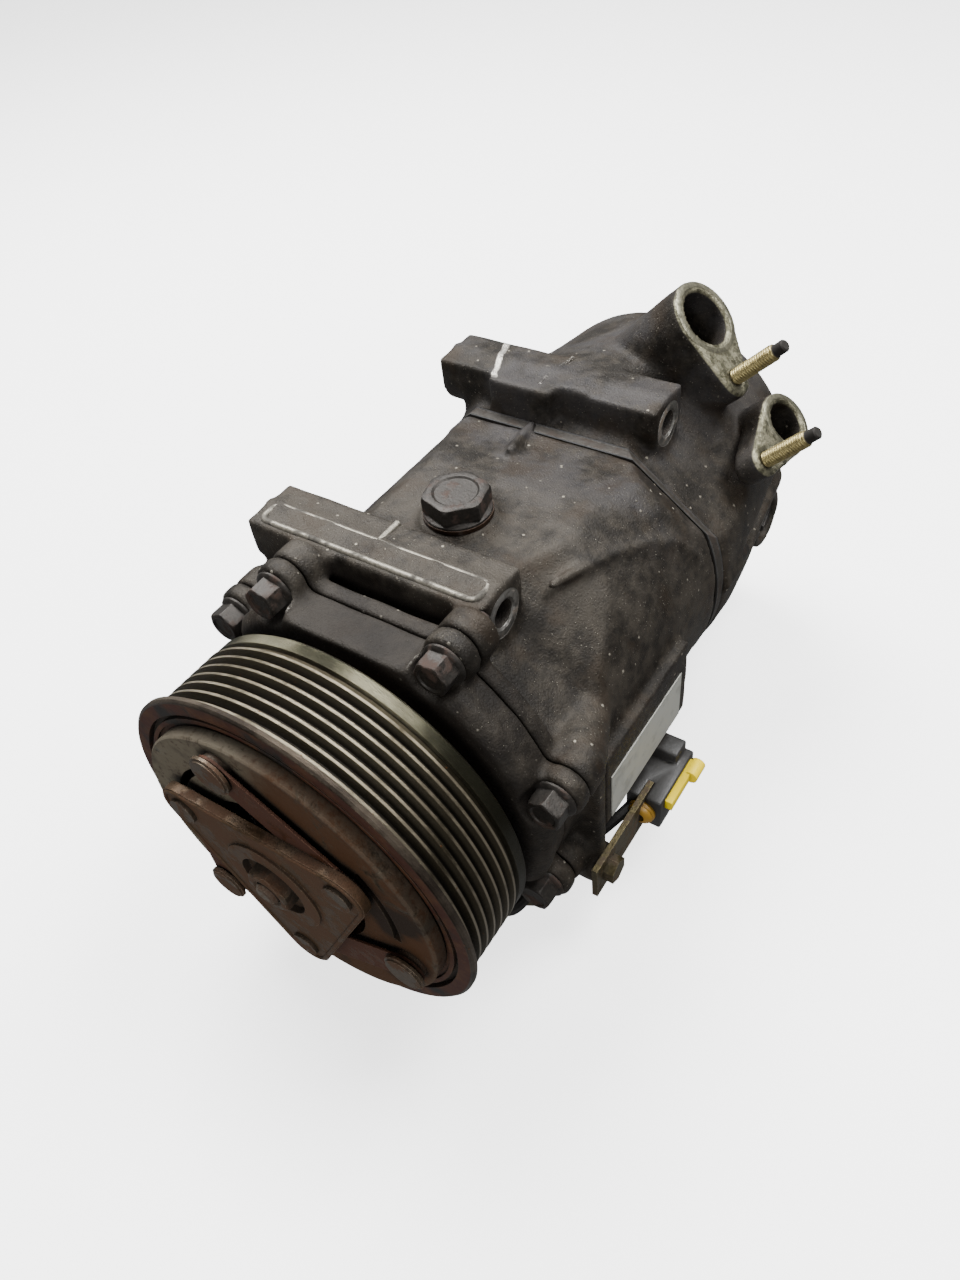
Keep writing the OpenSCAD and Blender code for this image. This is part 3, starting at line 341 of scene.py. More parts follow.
def casting(name, settings):
    """Die-cast aluminium under years of road film: dark, speckled, chipped bright on its edges,
    with painted light on its top and painted shade in its corners and behind the pulley.
    """
    f = Finish(name, Specular_IOR_Level=0.3)
    normal, edges = f.corner(0.0013)
    broad = f.noise(38, 5, 0.6)
    mottle = f.noise(210, 7, 0.68)
    sand = f.noise(1500, 3, 0.6)
    air = f.open_air(0.014)
    tone = f.fade(0.5 * broad + 0.5 * mottle, 0.4, 0.62)
    tint = f.mix(tone, tuple(settings.dark), tuple(settings.pale))
    # painted top light: the upper skin is painted lighter in patches, as if lit from above, and
    # bluer towards the rear
    up = f.fade(f.z, 0.02, 0.05) * f.fade(broad, 0.42, 0.6)
    top_light_tint = f.mix(f.fade(f.y, 0.08, 0.13), (0.044, 0.038, 0.03), (0.036, 0.035, 0.038))
    tint = f.mix(up * 0.55, tint, top_light_tint)
    brown = f.fade(f.noise(55, 6, 0.6), 0.5, 0.66)
    tint = f.mix(brown * 0.5, tint, (0.026, 0.0165, 0.0085))
    # flecks of bare metal and dried splashes
    patchy = f.fade(f.noise(75, 4), 0.4, 0.6)
    fleck = f.fade(f.cells(880) + 0.22 * sand, 0.33, 0.2) * f.fade(f.noise(360, 3), 0.46, 0.56)
    fleck = fleck * (0.45 + patchy)
    crumb = f.fade(f.cells(230), 0.16, 0.08) * f.fade(f.noise(120, 2), 0.53, 0.58)
    tint = f.mix(fleck * 0.8, tint, (0.17, 0.155, 0.125))
    tint = f.mix(crumb * 0.8, tint, (0.27, 0.245, 0.2))
    # chipped and rubbed edges, most of all on the upper front lug
    on_lug = f.fade(f.z, 0.044, 0.052) * f.fade(f.radius(), 0.05, 0.06)
    chip = f.fade(edges + 0.16 * mottle, 0.12, 0.18) * f.fade(f.noise(420, 5, 0.7), 0.45, 0.54)
    chip = chip * (0.22 + 0.95 * on_lug * f.fade(air, 0.4, 0.8))
    # one long scratch across the upper rear lug
    swipe = f.fade(f.z, 0.0592, 0.0598) * f.fade(f.y, 0.15, 0.152)
    bent = f.x + 0.35 * f.y + 0.004 * f.noise(120, 3)
    swipe = swipe * f.fade(bent, 0.0215, 0.0222) * f.fade(bent, 0.0245, 0.0238)
    chip = f.larger(chip, swipe)
    tint = f.mix(chip, tint, tuple(settings.worn))
    # machined ends of the lug bars and faces of the ports
    port = f.fade((f.x + f.z) * DIAGONAL, 0.0697, 0.0703) * f.fade(f.y, 0.15, 0.16)
    port_tint = f.mix(f.fade(f.noise(260, 5, 0.65), 0.4, 0.6), (0.07, 0.066, 0.042),
                      (0.24, 0.225, 0.155))
    tint = f.mix(port, tint, port_tint)
    bright = 0.0
    for y, z in LUG_BORES:
        bore = f.fade(f.radius((y - TRACK_Y) * MM, z * MM), 0.0081, 0.0077)
        face = f.fade(f.x, 0.0298, 0.0301) + f.fade(f.x, -0.0564, -0.0567)
        bright = bright + bore * face
    bright = bright * f.fade(mottle, 0.25, 0.5)
    tint = f.mix(bright, tint, (0.26, 0.25, 0.23))
    # painted shade, black-brown: darker in the corners and under the ledges, and over the front
    # behind the pulley
    corner_shade = f.fade(air + 0.3 * (mottle - 0.5), 0.62, 0.2)
    front = f.fade(f.y, 0.052, 0.036) * f.fade(f.radius(), 0.066, 0.056)
    painted_shade = f.larger(corner_shade, front * 0.8)
    tint = f.mix(painted_shade * 0.9, tint, (0.0085, 0.006, 0.0042))
    shine = f.fade(bright + port * 0.6 + chip, 0.1, 0.8)
    rough = f.blend(shine, f.blend(painted_shade, 0.4 + 0.3 * mottle, 0.72), 0.34)
    metal = f.blend(shine, f.blend(painted_shade, 0.35, 0.1), 0.85)
    height = 0.75 * sand + 0.7 * mottle + 0.6 * fleck + 0.8 * crumb - 0.6 * chip
    height = (height + 0.9 * painted_shade * f.noise(420, 4, 0.7)) * (1.0 - 0.85 * f.fade(bright, 0.1, 0.6))
    return f.finish(tint, rough, metal, height, 0.00042, normal)


def ribbed_rim(name, settings):
    """The pulley: polished crests, oily grooves and a rusted front face, with painted shade in its
    grooves and corners and a rear face painted lighter towards the top.
    """
    f = Finish(name)
    normal, edges = f.corner(0.0003)
    r = f.radius()
    around = f.stretch(1, 30, 1)
    grain = f.noise(700, 4, 0.6, around)
    patch = f.noise(45, 5, 0.6)
    phase = f.add("ShaderNodeMath", {"operation": "FRACT"}, {0: f.y / RIB_PITCH + 0.5})
    middle = f.add("ShaderNodeMath", {"operation": "ABSOLUTE"}, {0: phase - 0.5})
    track = f.fade(f.y, 0.0125, 0.0115)
    crest = f.fade(r, 0.0588, 0.0594) * track * f.fade(middle + 0.05 * grain, 0.16, 0.09)
    flank = f.fade(r, 0.0564, 0.0585)
    tint = f.mix(flank, tuple(settings.groove), (0.05, 0.042, 0.026))
    tint = f.mix(crest * f.fade(patch, 0.3, 0.55), tint, tuple(settings.crest))
    back = f.fade(f.y, 0.0125, 0.0135) * f.fade(r, 0.056, 0.058)
    # painted light: the rear face is lighter towards the top, as if lit from above, over random
    # wear
    worn = f.fade(f.noise(26, 4, 0.5) + 0.3 * f.fade(f.z, 0.03, 0.055), 0.6, 0.8)
    tint = f.mix(back, tint, f.mix(worn * grain, (0.026, 0.025, 0.016), (0.3, 0.28, 0.19)))
    flange = f.fade(f.y, -0.0112, -0.0118) * f.fade(r, 0.0585, 0.0595)
    tint = f.mix(flange, tint,
                 f.mix(f.fade(patch, 0.4, 0.6), (0.022, 0.016, 0.011), (0.07, 0.055, 0.04)))
    front = f.fade(f.y, -0.0115, -0.0128) * f.fade(r, 0.0612, 0.0605)
    rust = f.mix(f.fade(f.noise(130, 7, 0.65), 0.4, 0.65), tuple(settings.rust),
                 (0.07, 0.027, 0.0085))
    rust = f.mix(f.fade(f.noise(60, 4), 0.5, 0.66), rust, (0.011, 0.009, 0.0075))
    tint = f.mix(front, tint, rust)
    edge = f.fade(edges, 0.05, 0.25) * f.fade(grain, 0.35, 0.6) * f.fade(r, 0.05, 0.054)
    tint = f.mix(edge * 0.6, tint, (0.2, 0.16, 0.115))
    # painted shade: darker in the grooves and corners, where shade falls
    shade_and_grime = f.fade(f.open_air(0.004), 0.55, 0.15)
    tint = f.mix(shade_and_grime * 0.85, tint, (0.012, 0.009, 0.005))
    spots = f.fade(f.cells(300), 0.12, 0.07) * f.fade(f.noise(110, 3), 0.54, 0.6)
    tint = f.mix(spots * 0.7, tint, (0.12, 0.045, 0.012))
    dull = f.fade(front + shade_and_grime + 0.45 * (1.0 - crest) * track, 0.2, 0.9)
    return f.finish(tint, f.blend(dull, 0.26 + 0.2 * grain, 0.62), f.blend(dull, 0.95, 0.25),
                    grain + 0.5 * spots + front * f.noise(420, 5, 0.7), 0.00012, normal)


def plate_face(name, settings):
    """The armature plate: a pale film on bare steel with rust running from the straps and slots."""
    f = Finish(name, Specular_IOR_Level=0.3)
    normal, edges = f.corner(0.0005)
    r = f.radius()
    bloom = f.noise(60, 6, 0.65, None, 0.6)
    fine = f.noise(420, 5, 0.7)
    rust = f.fade(bloom + 0.25 * fine, 0.38, 0.6)
    tint = f.mix(f.fade(fine, 0.35, 0.65), (0.035, 0.032, 0.023), tuple(settings.plate))
    pale = f.fade(f.x - 0.4 * f.z + 0.012 * bloom, 0.002, -0.022)
    tint = f.mix(pale * f.fade(fine, 0.3, 0.5), tint, (0.16, 0.15, 0.11))
    tint = f.mix(rust * (0.95 - 0.6 * pale), tint, tuple(settings.rust))
    dark = f.fade(f.noise(34, 4), 0.5, 0.64)
    tint = f.mix(dark * 0.8, tint, (0.009, 0.0065, 0.0045))
    rim = f.fade(r, 0.0505, 0.0518) * f.fade(fine, 0.35, 0.55)
    tint = f.mix(rim * 0.4, tint, (0.09, 0.075, 0.055))
    tint = f.mix(f.fade(edges, 0.05, 0.2) * 0.45, tint, (0.14, 0.115, 0.08))
    # painted shade: darker in corners and where the straps and hub overhang the plate, where shade
    # falls
    shade_and_grime = f.fade(f.open_air(0.008), 0.75, 0.25)
    tint = f.mix(shade_and_grime * 0.9, tint, (0.012, 0.008, 0.005))
    dull = f.fade(rust + shade_and_grime, 0.1, 0.9)
    return f.finish(tint, f.blend(dull, 0.38, 0.8), f.blend(dull, 0.75, 0.15), fine + rust, 0.0002,
                    normal)


def blank_label(name, base):
    """Aged foil label with smudges and a scuffed border, and nothing printed on it."""
    f = Finish(name)
    smudge = f.noise(150, 6, 0.6)
    grey = f.fade(smudge, 0.48, 0.66)
    tint = f.mix(grey * 0.55, base, (0.2, 0.2, 0.18))
    scratch = f.fade(f.noise(900, 2, 0.5, f.stretch(1, 0.06, 1)), 0.66, 0.72)
    tint = f.mix(scratch * 0.5, tint, (0.16, 0.15, 0.13))
    spots = f.fade(f.cells(420), 0.12, 0.07) * f.fade(smudge, 0.5, 0.6)
    tint = f.mix(spots, tint, (0.08, 0.06, 0.04))
    return f.finish(tint, 0.42 + 0.3 * smudge, 0.25, smudge + scratch, 0.00004)


# ---- meshes ----

def new_object(name, mesh):
    piece = bpy.data.objects.new(name, mesh)
    bpy.context.scene.collection.objects.link(piece)
    return piece


def smooth_by_angle(mesh, degrees=35):
    mesh.polygons.foreach_set("use_smooth", [True] * len(mesh.polygons))
    mesh.set_sharp_from_angle(angle=math.radians(degrees))


def melted(name, meshes):
    """One mesh from several."""
    bm = bmesh.new()
    for mesh in meshes:
        bm.from_mesh(mesh)
    mesh = bpy.data.meshes.new(name)
    bm.to_mesh(mesh)
    bm.free()
    return mesh


def welded(mesh, distance):
    """Joins a mesh's doubled corners and turns its faces outwards."""
    bm = bmesh.new()
    bm.from_mesh(mesh)
    bmesh.ops.remove_doubles(bm, verts=bm.verts, dist=distance)
    bmesh.ops.recalc_face_normals(bm, faces=bm.faces)
    bm.to_mesh(mesh)
    bm.free()
    return mesh


def loft(name, rings, capped=True):
    """A closed skin through rings of the same number of points, which join up where not capped."""
    count = len(rings[0])
    verts = [p for ring in rings for p in ring]
    faces = []
    for low in range(0, (len(rings) - 1) * count, count):
        high = low + count
        for k in range(count):
            m = (k + 1) % count
            faces.append((low + k, low + m, high + m, high + k))
    if capped:
        faces.append(tuple(range(count - 1, -1, -1)))
        faces.append(tuple((len(rings) - 1) * count + k for k in range(count)))
    mesh = bpy.data.meshes.new(name)
    mesh.from_pydata([tuple(v) for v in verts], [], faces)
    smooth_by_angle(welded(mesh, 1e-7))
    return mesh


def axes_for(axis):
    axis = Vector(axis).normalized()
    side = axis.orthogonal().normalized()
    return axis, side, axis.cross(side)


def lathe(name, centre, axis, profile, sides=64, flats=None, turn=0.0):
    """Revolves (radius, height) points in millimetres about an axis through centre.

    A third value of True cuts a point back to a hexagon, flats from its middle to a side. A
    profile that ends where it starts makes a ring, and any other is capped.
    """
    axis, u, v = axes_for(axis)
    rings = []
    for radius, height, *hexed in profile:
        ring = []
        for k in range(sides):
            angle = 2 * math.pi * k / sides
            r = radius
            if hexed:
                r = min(r, flats / math.cos((angle + math.pi / 6) % (math.pi / 3) - math.pi / 6))
            spoke = u * math.cos(angle + turn) + v * math.sin(angle + turn)
            ring.append(centre + axis * height * MM + spoke * r * MM)
        rings.append(ring)
    return loft(name, rings, capped=profile[0] != profile[-1])


def hex_head(name, centre, axis, af, height, flange_r, flange_t, turn=0.0, dish=0.0):
    """A forged hexagon head on its flange, chamfered, with a shallow dished top."""
    flat, corner = af / 2, af / 2 / math.cos(math.pi / 6)
    profile = [(flange_r * 0.6, 0), (flange_r - 0.2, 0), (flange_r, 0.25),
               (flange_r - 0.1, flange_t * 0.55), (flange_r * 0.88, flange_t),
               (corner * 1.02, flange_t + 0.15, True), (corner, flange_t + 0.4, True),
               (corner, height - 1.5, True), (corner * 0.985, height - 0.95, True),
               (corner * 0.94, height - 0.35, True), (flat * 0.96, height - 0.05),
               (flat * 0.92, height), (flat * 0.78, height - dish * 0.1),
               (flat * 0.7, height - dish), (flat * 0.3, height - dish)]
    return lathe(name, centre, axis, profile, 72, flat, turn)


def threaded(name, centre, axis, length, major, pitch, point_r, point_l):
    """A stud with a true helical thread and a plain dog point."""
    axis, u, v = axes_for(axis)
    sides, rings_a_turn = 32, 6
    depth = 0.6 * pitch
    spokes = [u * math.cos(2 * math.pi * k / sides) + v * math.sin(2 * math.pi * k / sides)
              for k in range(sides)]
    rings = []
    steps = int(length / pitch * rings_a_turn)
    for i in range(steps + 1):
        height = length * i / steps
        fade = min(1.0, (length - height) / pitch)
        ring = []
        for k, spoke in enumerate(spokes):
            wave = abs(2 * ((height / pitch - k / sides) % 1.0) - 1)
            r = major - depth * (1 - fade * min(1, wave * 1.25))
            ring.append(centre + axis * height * MM + spoke * r * MM)
        rings.append(ring)
    for r, height in ((major - depth, length), (point_r, length + 0.15),
                      (point_r, length + point_l - 0.5), (point_r - 0.5, length + point_l)):
        rings.append([centre + axis * height * MM + spoke * r * MM for spoke in spokes])
    return loft(name, rings)


def joined(name, meshes):
    """One object from several meshes."""
    mesh = melted(name, meshes)
    smooth_by_angle(mesh)
    return new_object(name, mesh)


def merged_copy(node):
    """A CAD node's mesh with its loose triangles joined."""
    mesh = welded(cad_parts[node].data.copy(), 2e-6)
    mesh.materials.clear()
    return mesh


def applied(piece):
    """The piece's mesh with its modifiers applied and removed."""
    graph = bpy.context.evaluated_depsgraph_get()
    mesh = bpy.data.meshes.new_from_object(piece.evaluated_get(graph))
    piece.modifiers.clear()
    piece.data = mesh
    return piece


def cast_skin(name, node, settings, flesh, fixed):
    """The casting's rebuilt skin: flesh is melted in, inner corners fill, outer corners are eased.

    fixed tells for points in millimetres where the skin stays as it is.
    """
    piece = new_object(name, melted(name, [merged_copy(node), *flesh]))
    remesh = piece.modifiers.new("skin", "REMESH")
    remesh.mode, remesh.voxel_size, remesh.use_smooth_shade = "VOXEL", settings.voxel, True
    applied(piece)
    mesh = piece.data
    count = len(mesh.vertices)
    points = np.empty(count * 3)
    mesh.vertices.foreach_get("co", points)
    points = points.reshape(-1, 3)
    edges = np.empty(len(mesh.edges) * 2, dtype=np.int64)
    mesh.edges.foreach_get("vertices", edges)
    a, b = edges.reshape(-1, 2).T
    degree = np.bincount(a, minlength=count) + np.bincount(b, minlength=count)
    ease = 1.0 - fixed(points / MM + np.array([0, TRACK_Y, 0]))
    for step in range(settings.passes):
        mean = np.stack([np.bincount(a, points[b, i], count) + np.bincount(b, points[a, i], count)
                         for i in range(3)], 1) / degree[:, None]
        if step % 4 == 0:
            mesh.vertices.foreach_set("co", points.ravel())
            mesh.update()
            normals = np.empty(count * 3)
            mesh.vertices.foreach_get("normal", normals)
            normals = normals.reshape(-1, 3)
        shift = mean - points
        outwards = (shift * normals).sum(1) > 0
        points = points + shift * (ease * np.where(outwards, 0.9, 0.34))[:, None]
    # slight unevenness of the cast skin
    x, y, z = points.T
    waves = (np.sin(x * 310 + 2 * np.sin(y * 170)) * np.sin(y * 270 + 1.5 * np.sin(z * 230))
             * np.sin(z * 290 + 1))
    points = points + normals * (waves * ease * 0.00016)[:, None]
    mesh.vertices.foreach_set("co", points.ravel())
    mesh.update()
    mesh.polygons.foreach_set("use_smooth", [True] * len(mesh.polygons))
    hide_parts(node)
    return piece


def eased(name, node, width):
    """A copy of a CAD node with small real bevels on its edges."""
    mesh = merged_copy(node)
    bm = bmesh.new()
    bm.from_mesh(mesh)
    bmesh.ops.dissolve_limit(bm, angle_limit=math.radians(1), verts=bm.verts, edges=bm.edges)
    bm.to_mesh(mesh)
    bm.free()
    piece = new_object(name, mesh)
    bevel = piece.modifiers.new("bevel", "BEVEL")
    bevel.width, bevel.segments, bevel.limit_method = width, 2, "ANGLE"
    bevel.angle_limit, bevel.use_clamp_overlap = math.radians(40), True
    applied(piece)
    smooth_by_angle(piece.data, 40)
    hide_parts(node)
    return piece


# ---- geometry node groups ----

def group_with(name, inputs):
    tree = bpy.data.node_groups.new(name, "GeometryNodeTree")
    tree.interface.new_socket("Geometry", in_out="INPUT", socket_type="NodeSocketGeometry")
    for label, kind, value in inputs:
        tree.interface.new_socket(label, in_out="INPUT", socket_type=kind).default_value = value
    tree.interface.new_socket("Geometry", in_out="OUTPUT", socket_type="NodeSocketGeometry")
    start, end = tree.nodes.new("NodeGroupInput"), tree.nodes.new("NodeGroupOutput")
    graph = Graph(tree)
    return graph, {s.name: Value(graph, s) for s in start.outputs if s.name}, end


def close_group(graph, end, shape, material):
    shape = graph.add("GeometryNodeRealizeInstances", None, {0: shape})
    shape = graph.add("GeometryNodeSetMaterial", None, {"Geometry": shape, "Material": material})
    graph.tree.links.new(shape.socket, end.inputs[0])


def run_group(name, tree, base_mesh, values):
    piece = new_object(name, base_mesh)
    modifier = piece.modifiers.new("build", "NODES")
    modifier.node_group = tree
    for item in tree.interface.items_tree:
        if item.in_out == "INPUT" and item.name in values:
            modifier[item.identifier] = values[item.name]
    return applied(piece)


def path_mesh(name, paths):
    mesh = bpy.data.meshes.new(name)
    verts, edges = [], []
    for points, closed in paths:
        first = len(verts)
        verts += [tuple(p) for p in points]
        edges += [(first + i, first + i + 1) for i in range(len(points) - 1)]
        if closed:
            edges.append((len(verts) - 1, first))
    mesh.from_pydata(verts, edges, [])
    return mesh


def beads(name, paths, radius, material, sides=10):
    """Round beads that follow paths."""
    graph, given, end = group_with(name + "_tree", [("Radius", "NodeSocketFloat", 0.001),
                                                    ("Sides", "NodeSocketInt", 10)])
    curve = graph.add("GeometryNodeMeshToCurve", None, {"Mesh": given["Geometry"]})
    circle = graph.add("GeometryNodeCurvePrimitiveCircle", None,
                       {"Resolution": given["Sides"], "Radius": given["Radius"]})
    shape = graph.add("GeometryNodeCurveToMesh", None,
                      {"Curve": curve, "Profile Curve": circle, "Fill Caps": True})
    close_group(graph, end, shape, material)
    return run_group(name, graph.tree, path_mesh(name, paths), {"Radius": radius, "Sides": sides})


def copies(name, template, places, material):
    """Copies of a small mesh, made at the origin, at points and turned about the shaft axis."""
    holder = new_object(name + "_template", template)
    graph, given, end = group_with(name + "_tree", [])
    graph.tree.interface.new_socket("Template", in_out="INPUT", socket_type="NodeSocketObject")
    source = Value(graph, next(s for n in graph.tree.nodes if n.type == "GROUP_INPUT"
                               for s in n.outputs if s.name == "Template"))
    shape = graph.add("GeometryNodeObjectInfo", None, {"Object": source}, out="Geometry")
    turn = graph.add("GeometryNodeInputNamedAttribute", {"data_type": "FLOAT_VECTOR"},
                     {"Name": "turn"})
    shape = graph.add("GeometryNodeInstanceOnPoints", None,
                      {"Points": given["Geometry"], "Instance": shape, "Rotation": turn})
    close_group(graph, end, shape, material)
    points = bpy.data.meshes.new(name)
    points.from_pydata([tuple(p) for p, _ in places], [], [])
    turns = points.attributes.new("turn", "FLOAT_VECTOR", "POINT")
    turns.data.foreach_set("vector", [c for _, t in places for c in (0.0, t, 0.0)])
    piece = run_group(name, graph.tree, points, {"Template": holder})
    bpy.data.objects.remove(holder)
    smooth_by_angle(piece.data)
    return piece


def dress(material, *nodes):
    """Gives CAD nodes their finish."""
    for node in nodes:
        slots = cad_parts[node].data.materials
        if not len(slots):
            slots.append(material)
        for i in range(len(slots)):
            slots[i] = material


def add_piece(piece, material, body="housing"):
    """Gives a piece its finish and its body."""
    piece.data.materials.clear()
    piece.data.materials.append(material)
    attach(piece, body)


# ---- operators ----

class CastingsOperator(bpy.types.Operator):
    """Builds the three castings' skins with eased corners"""
    bl_idname = "compressor.castings"
    bl_label = "Castings"

    def execute(self, context):
        settings = context.scene.compressor_castings
        material = casting("cast_aluminium", settings)

        def in_bores(p):
            held = np.zeros(len(p))
            for y, z in LUG_BORES:
                held = np.maximum(held, np.hypot(p[:, 1] - y, p[:, 2] - z) < 5.3)
            return held

        def hold_crankcase(p):
            # the front chamber, the cylinder block's inside and the spigot
            r = np.hypot(p[:, 0], p[:, 2])
            front = (p[:, 1] < 84.6) & (r < 43.2) & (p[:, 2] < 40.6)
            rear = (p[:, 1] > 83) & (r < 51.2) & (p[:, 2] < 48.2)
            spigot = (p[:, 1] < 58) & (r < 51.6)
            return np.maximum(in_bores(p), front | rear | spigot)

        def hold_front(p):
            # the pulley bearing's nose
            return (np.hypot(p[:, 0], p[:, 2]) < 36).astype(float)

        def hold_head(p):
            # the head's chambers, the ports' bores and the studs' holes
            r = np.hypot(p[:, 0], p[:, 2])
            out = (p[:, 0] + p[:, 2]) * DIAGONAL
            across = (p[:, 0] - p[:, 2]) * DIAGONAL
            held = np.maximum(in_bores(p), (r < 45) & (p[:, 1] < 222))
            for q, y, bore, _ in PORTS:
                near = np.hypot(across - q, p[:, 1] - y) < bore + 0.8
                held = np.maximum(held, near & (out > 20))
            for q, y in STUDS:
                held = np.maximum(held, (np.hypot(across - q, p[:, 1] - y) < 3.8) & (out > 60))
            return held

        # a tapering root runs back from each free bolt boss
        flesh = []
        for angle in FRONT_BOLTS:
            if angle in LUG_SIDE_BOLTS:
                continue
            (x0, z0), (x1, z1) = turned(angle, 62.5), turned(angle, 52.5)
            start, end = at(x0, 60, z0), at(x1, 88, z1)
            length = (end - start).length / MM
            flesh.append(lathe("lobe_root", start, end - start, [
                (8.6, 0), (7.3, length * 0.45), (6.0, length)], 40))
        # two raised ridges on the barrel
        low = [at(-14, 161, 47.6), at(-12, 148, 49.6), at(-9, 138, 51.8)]
        high = [at(60.4 * math.sin(a), y, 60.4 * math.cos(a)) for a, y in (
            (0.62, 90), (0.68, 102), (0.76, 116), (0.88, 132), (1.02, 143), (1.2, 149))]
        ridges = beads("ridges", [(low, False), (high, False)], 0.0017, material, 8)
        flesh.append(ridges.data)
        crank = cast_skin("crankcase_skin", "crankcase", settings, flesh, hold_crankcase)
        bpy.data.objects.remove(ridges)
        front = cast_skin("front_housing_skin", "front_housing", settings, [], hold_front)
        head = cast_skin("rear_head_skin", "rear_head", settings, [], hold_head)
        add_piece(crank, material)
        add_piece(front, material)
        add_piece(head, material)
        return {"FINISHED"}


class LugDetailsOperator(bpy.types.Operator):
    """Adds the raised beads, parting lines and machined rings of the castings"""
    bl_idname = "compressor.lug_details"
    bl_label = "Lug details"

    def execute(self, context):
        trim = context.scene.compressor_trim
        material = bpy.data.materials["cast_aluminium"]
        x0, x1 = LUG_X[0] + 4, LUG_X[1] - 3.5
        y0, y1 = FRONT_LUG - 7.6, FRONT_LUG + 0.5
        corner = 2.5
        outline = []
        for x, y, turn in ((x0, y0, 180), (x1, y0, 270), (x1, y1, 0), (x0, y1, 90)):
            cx = x + (corner if x == x0 else -corner)
            cy = y + (corner if y == y0 else -corner)
            for step in (0, 30, 60, 90):
                c, s = turned(turn + step, corner)
                outline.append(at(cx + c, cy + s, LUG_TOP))
        cross = [at(-13, y1, LUG_TOP), at(-13, FRONT_LUG + 10.2, LUG_TOP)]
        worn = steel("worn_bead", (0.24, 0.22, 0.18), (0.02, 0.017, 0.013), 0.4, 0.5, 0.5,
                     metallic=0.6)
        add_piece(beads("lug_bead", [(outline, True), (cross, False)], trim.bead, worn), worn)
        seam = [at(-14, REAR_LUG - 9.9, 59.6), at(-14.5, REAR_LUG - 6, LUG_TOP),
                at(-12, REAR_LUG + 10, LUG_TOP)]
        add_piece(beads("lug_seam", [(seam, False)], trim.bead * 0.8, material), material)
        cut = steel("machined_aluminium", (0.3, 0.29, 0.27), (0.07, 0.045, 0.025), 0.32, 0.45, 0.6)
        rings = []
        for y, z in LUG_BORES:
            for x, way in ((LUG_X[1], 1), (LUG_X[0], -1)):
                rings.append(lathe("ring", at(x, y, z), (way, 0, 0), [
                    (4.4, -6), (4.4, -0.9), (5.2, 0.12), (7.3, 0.14), (7.7, -0.05), (7.7, -0.6),
                    (5.6, -0.6), (5.0, -6), (4.4, -6)]))
        add_piece(joined("lug_rings", rings), cut)
        return {"FINISHED"}


class PulleyOperator(bpy.types.Operator):
    """Finishes the pulley, its bearing and the coil"""
    bl_idname = "compressor.pulley"
    bl_label = "Pulley"

    def execute(self, context):
        settings = context.scene.compressor_pulley
        dress(ribbed_rim("pulley_steel", settings), "pulley")
        ground = steel("ground_steel", (0.5, 0.5, 0.5), (0.12, 0.06, 0.03), 0.22, 0.2, 0.4)
        dress(ground, "bearing_inner_ring", "bearing_outer_ring", "bearing_balls")
        brass = steel("cage_brass", (0.5, 0.34, 0.14), (0.14, 0.08, 0.03), 0.35, 0.2, 0.4)
        dress(brass, "bearing_cage")
        ring = steel("spring_steel", (0.12, 0.115, 0.11), (0.1, 0.04, 0.02), 0.4, 0.4, 0.5)
        dress(ring, "bearing_circlip", "pulley_circlip", "coil_snap_ring", "seal_circlip",
              "control_valve_circlip")
        shell = steel("coil_steel", (0.05, 0.045, 0.04), (0.11, 0.045, 0.02), 0.5, 0.7, 0.7,
                      metallic=0.4)
        dress(shell, "coil_shell")
        dress(rubbery("coil_resin", (0.16, 0.05, 0.02), 0.4, 0.4), "coil_winding")
        return {"FINISHED"}


class ClutchOperator(bpy.types.Operator):
    """Finishes the clutch plate, hub, rivets and stop buttons and adds the hub's rim and nut"""
    bl_idname = "compressor.clutch"
    bl_label = "Clutch"

    def execute(self, context):
        settings = context.scene.compressor_clutch
        rust = tuple(settings.rust)
        dress(plate_face("armature_steel", settings), "armature_plate")
        strap = steel("strap_steel", tuple(settings.strap), (0.05, 0.014, 0.0045), 0.45, 0.9, 0.7,
                      metallic=0.45)
        dress(strap, "leaf_springs")
        hub = steel("hub_steel", (0.09, 0.052, 0.024), rust, 0.42, 0.75, 0.85, 0.6, metallic=0.5)
        dress(hub, "hub")
        button = steel("button_steel", (0.1, 0.072, 0.046), rust, 0.36, 0.7, 0.75, metallic=0.6)
        dress(button, "stop_buttons", "hub_rivets")
        # the hub plate's pressed rim follows its outline
        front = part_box("hub")[0][1] / MM + TRACK_Y
        rim = []
        for corner in HUB_CORNERS:
            x, z = turned(corner, HUB_CORNER_R)
            for turn in range(-60, 61, 12):
                c, s = turned(corner + turn, HUB_ARC_R)
                rim.append(at(x + c, front + 1.0, z + s))
        add_piece(beads("hub_rim", [(rim, True)], 0.00075, hub, 8), hub, "drive_line")
        low, high = (end[1] / MM + TRACK_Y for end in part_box("shaft_nut"))
        tall = high - low
        nut = lathe("nut", at(0, high, 0), (0, -1, 0), [
            (4.3, 0), (8.0, 0, True), (8.083, 0.4, True), (8.083, tall - 1.2, True),
            (7.75, tall - 0.45, True), (6.8, tall), (5.2, tall), (4.6, tall - 0.6),
            (4.3, tall - 0.6), (4.3, 0)], 72, NUT_HALF_AF, 0.1)
        piece = new_object("nut_detail", nut)
        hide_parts("shaft_nut")
        add_piece(piece, button, "drive_line")
        return {"FINISHED"}


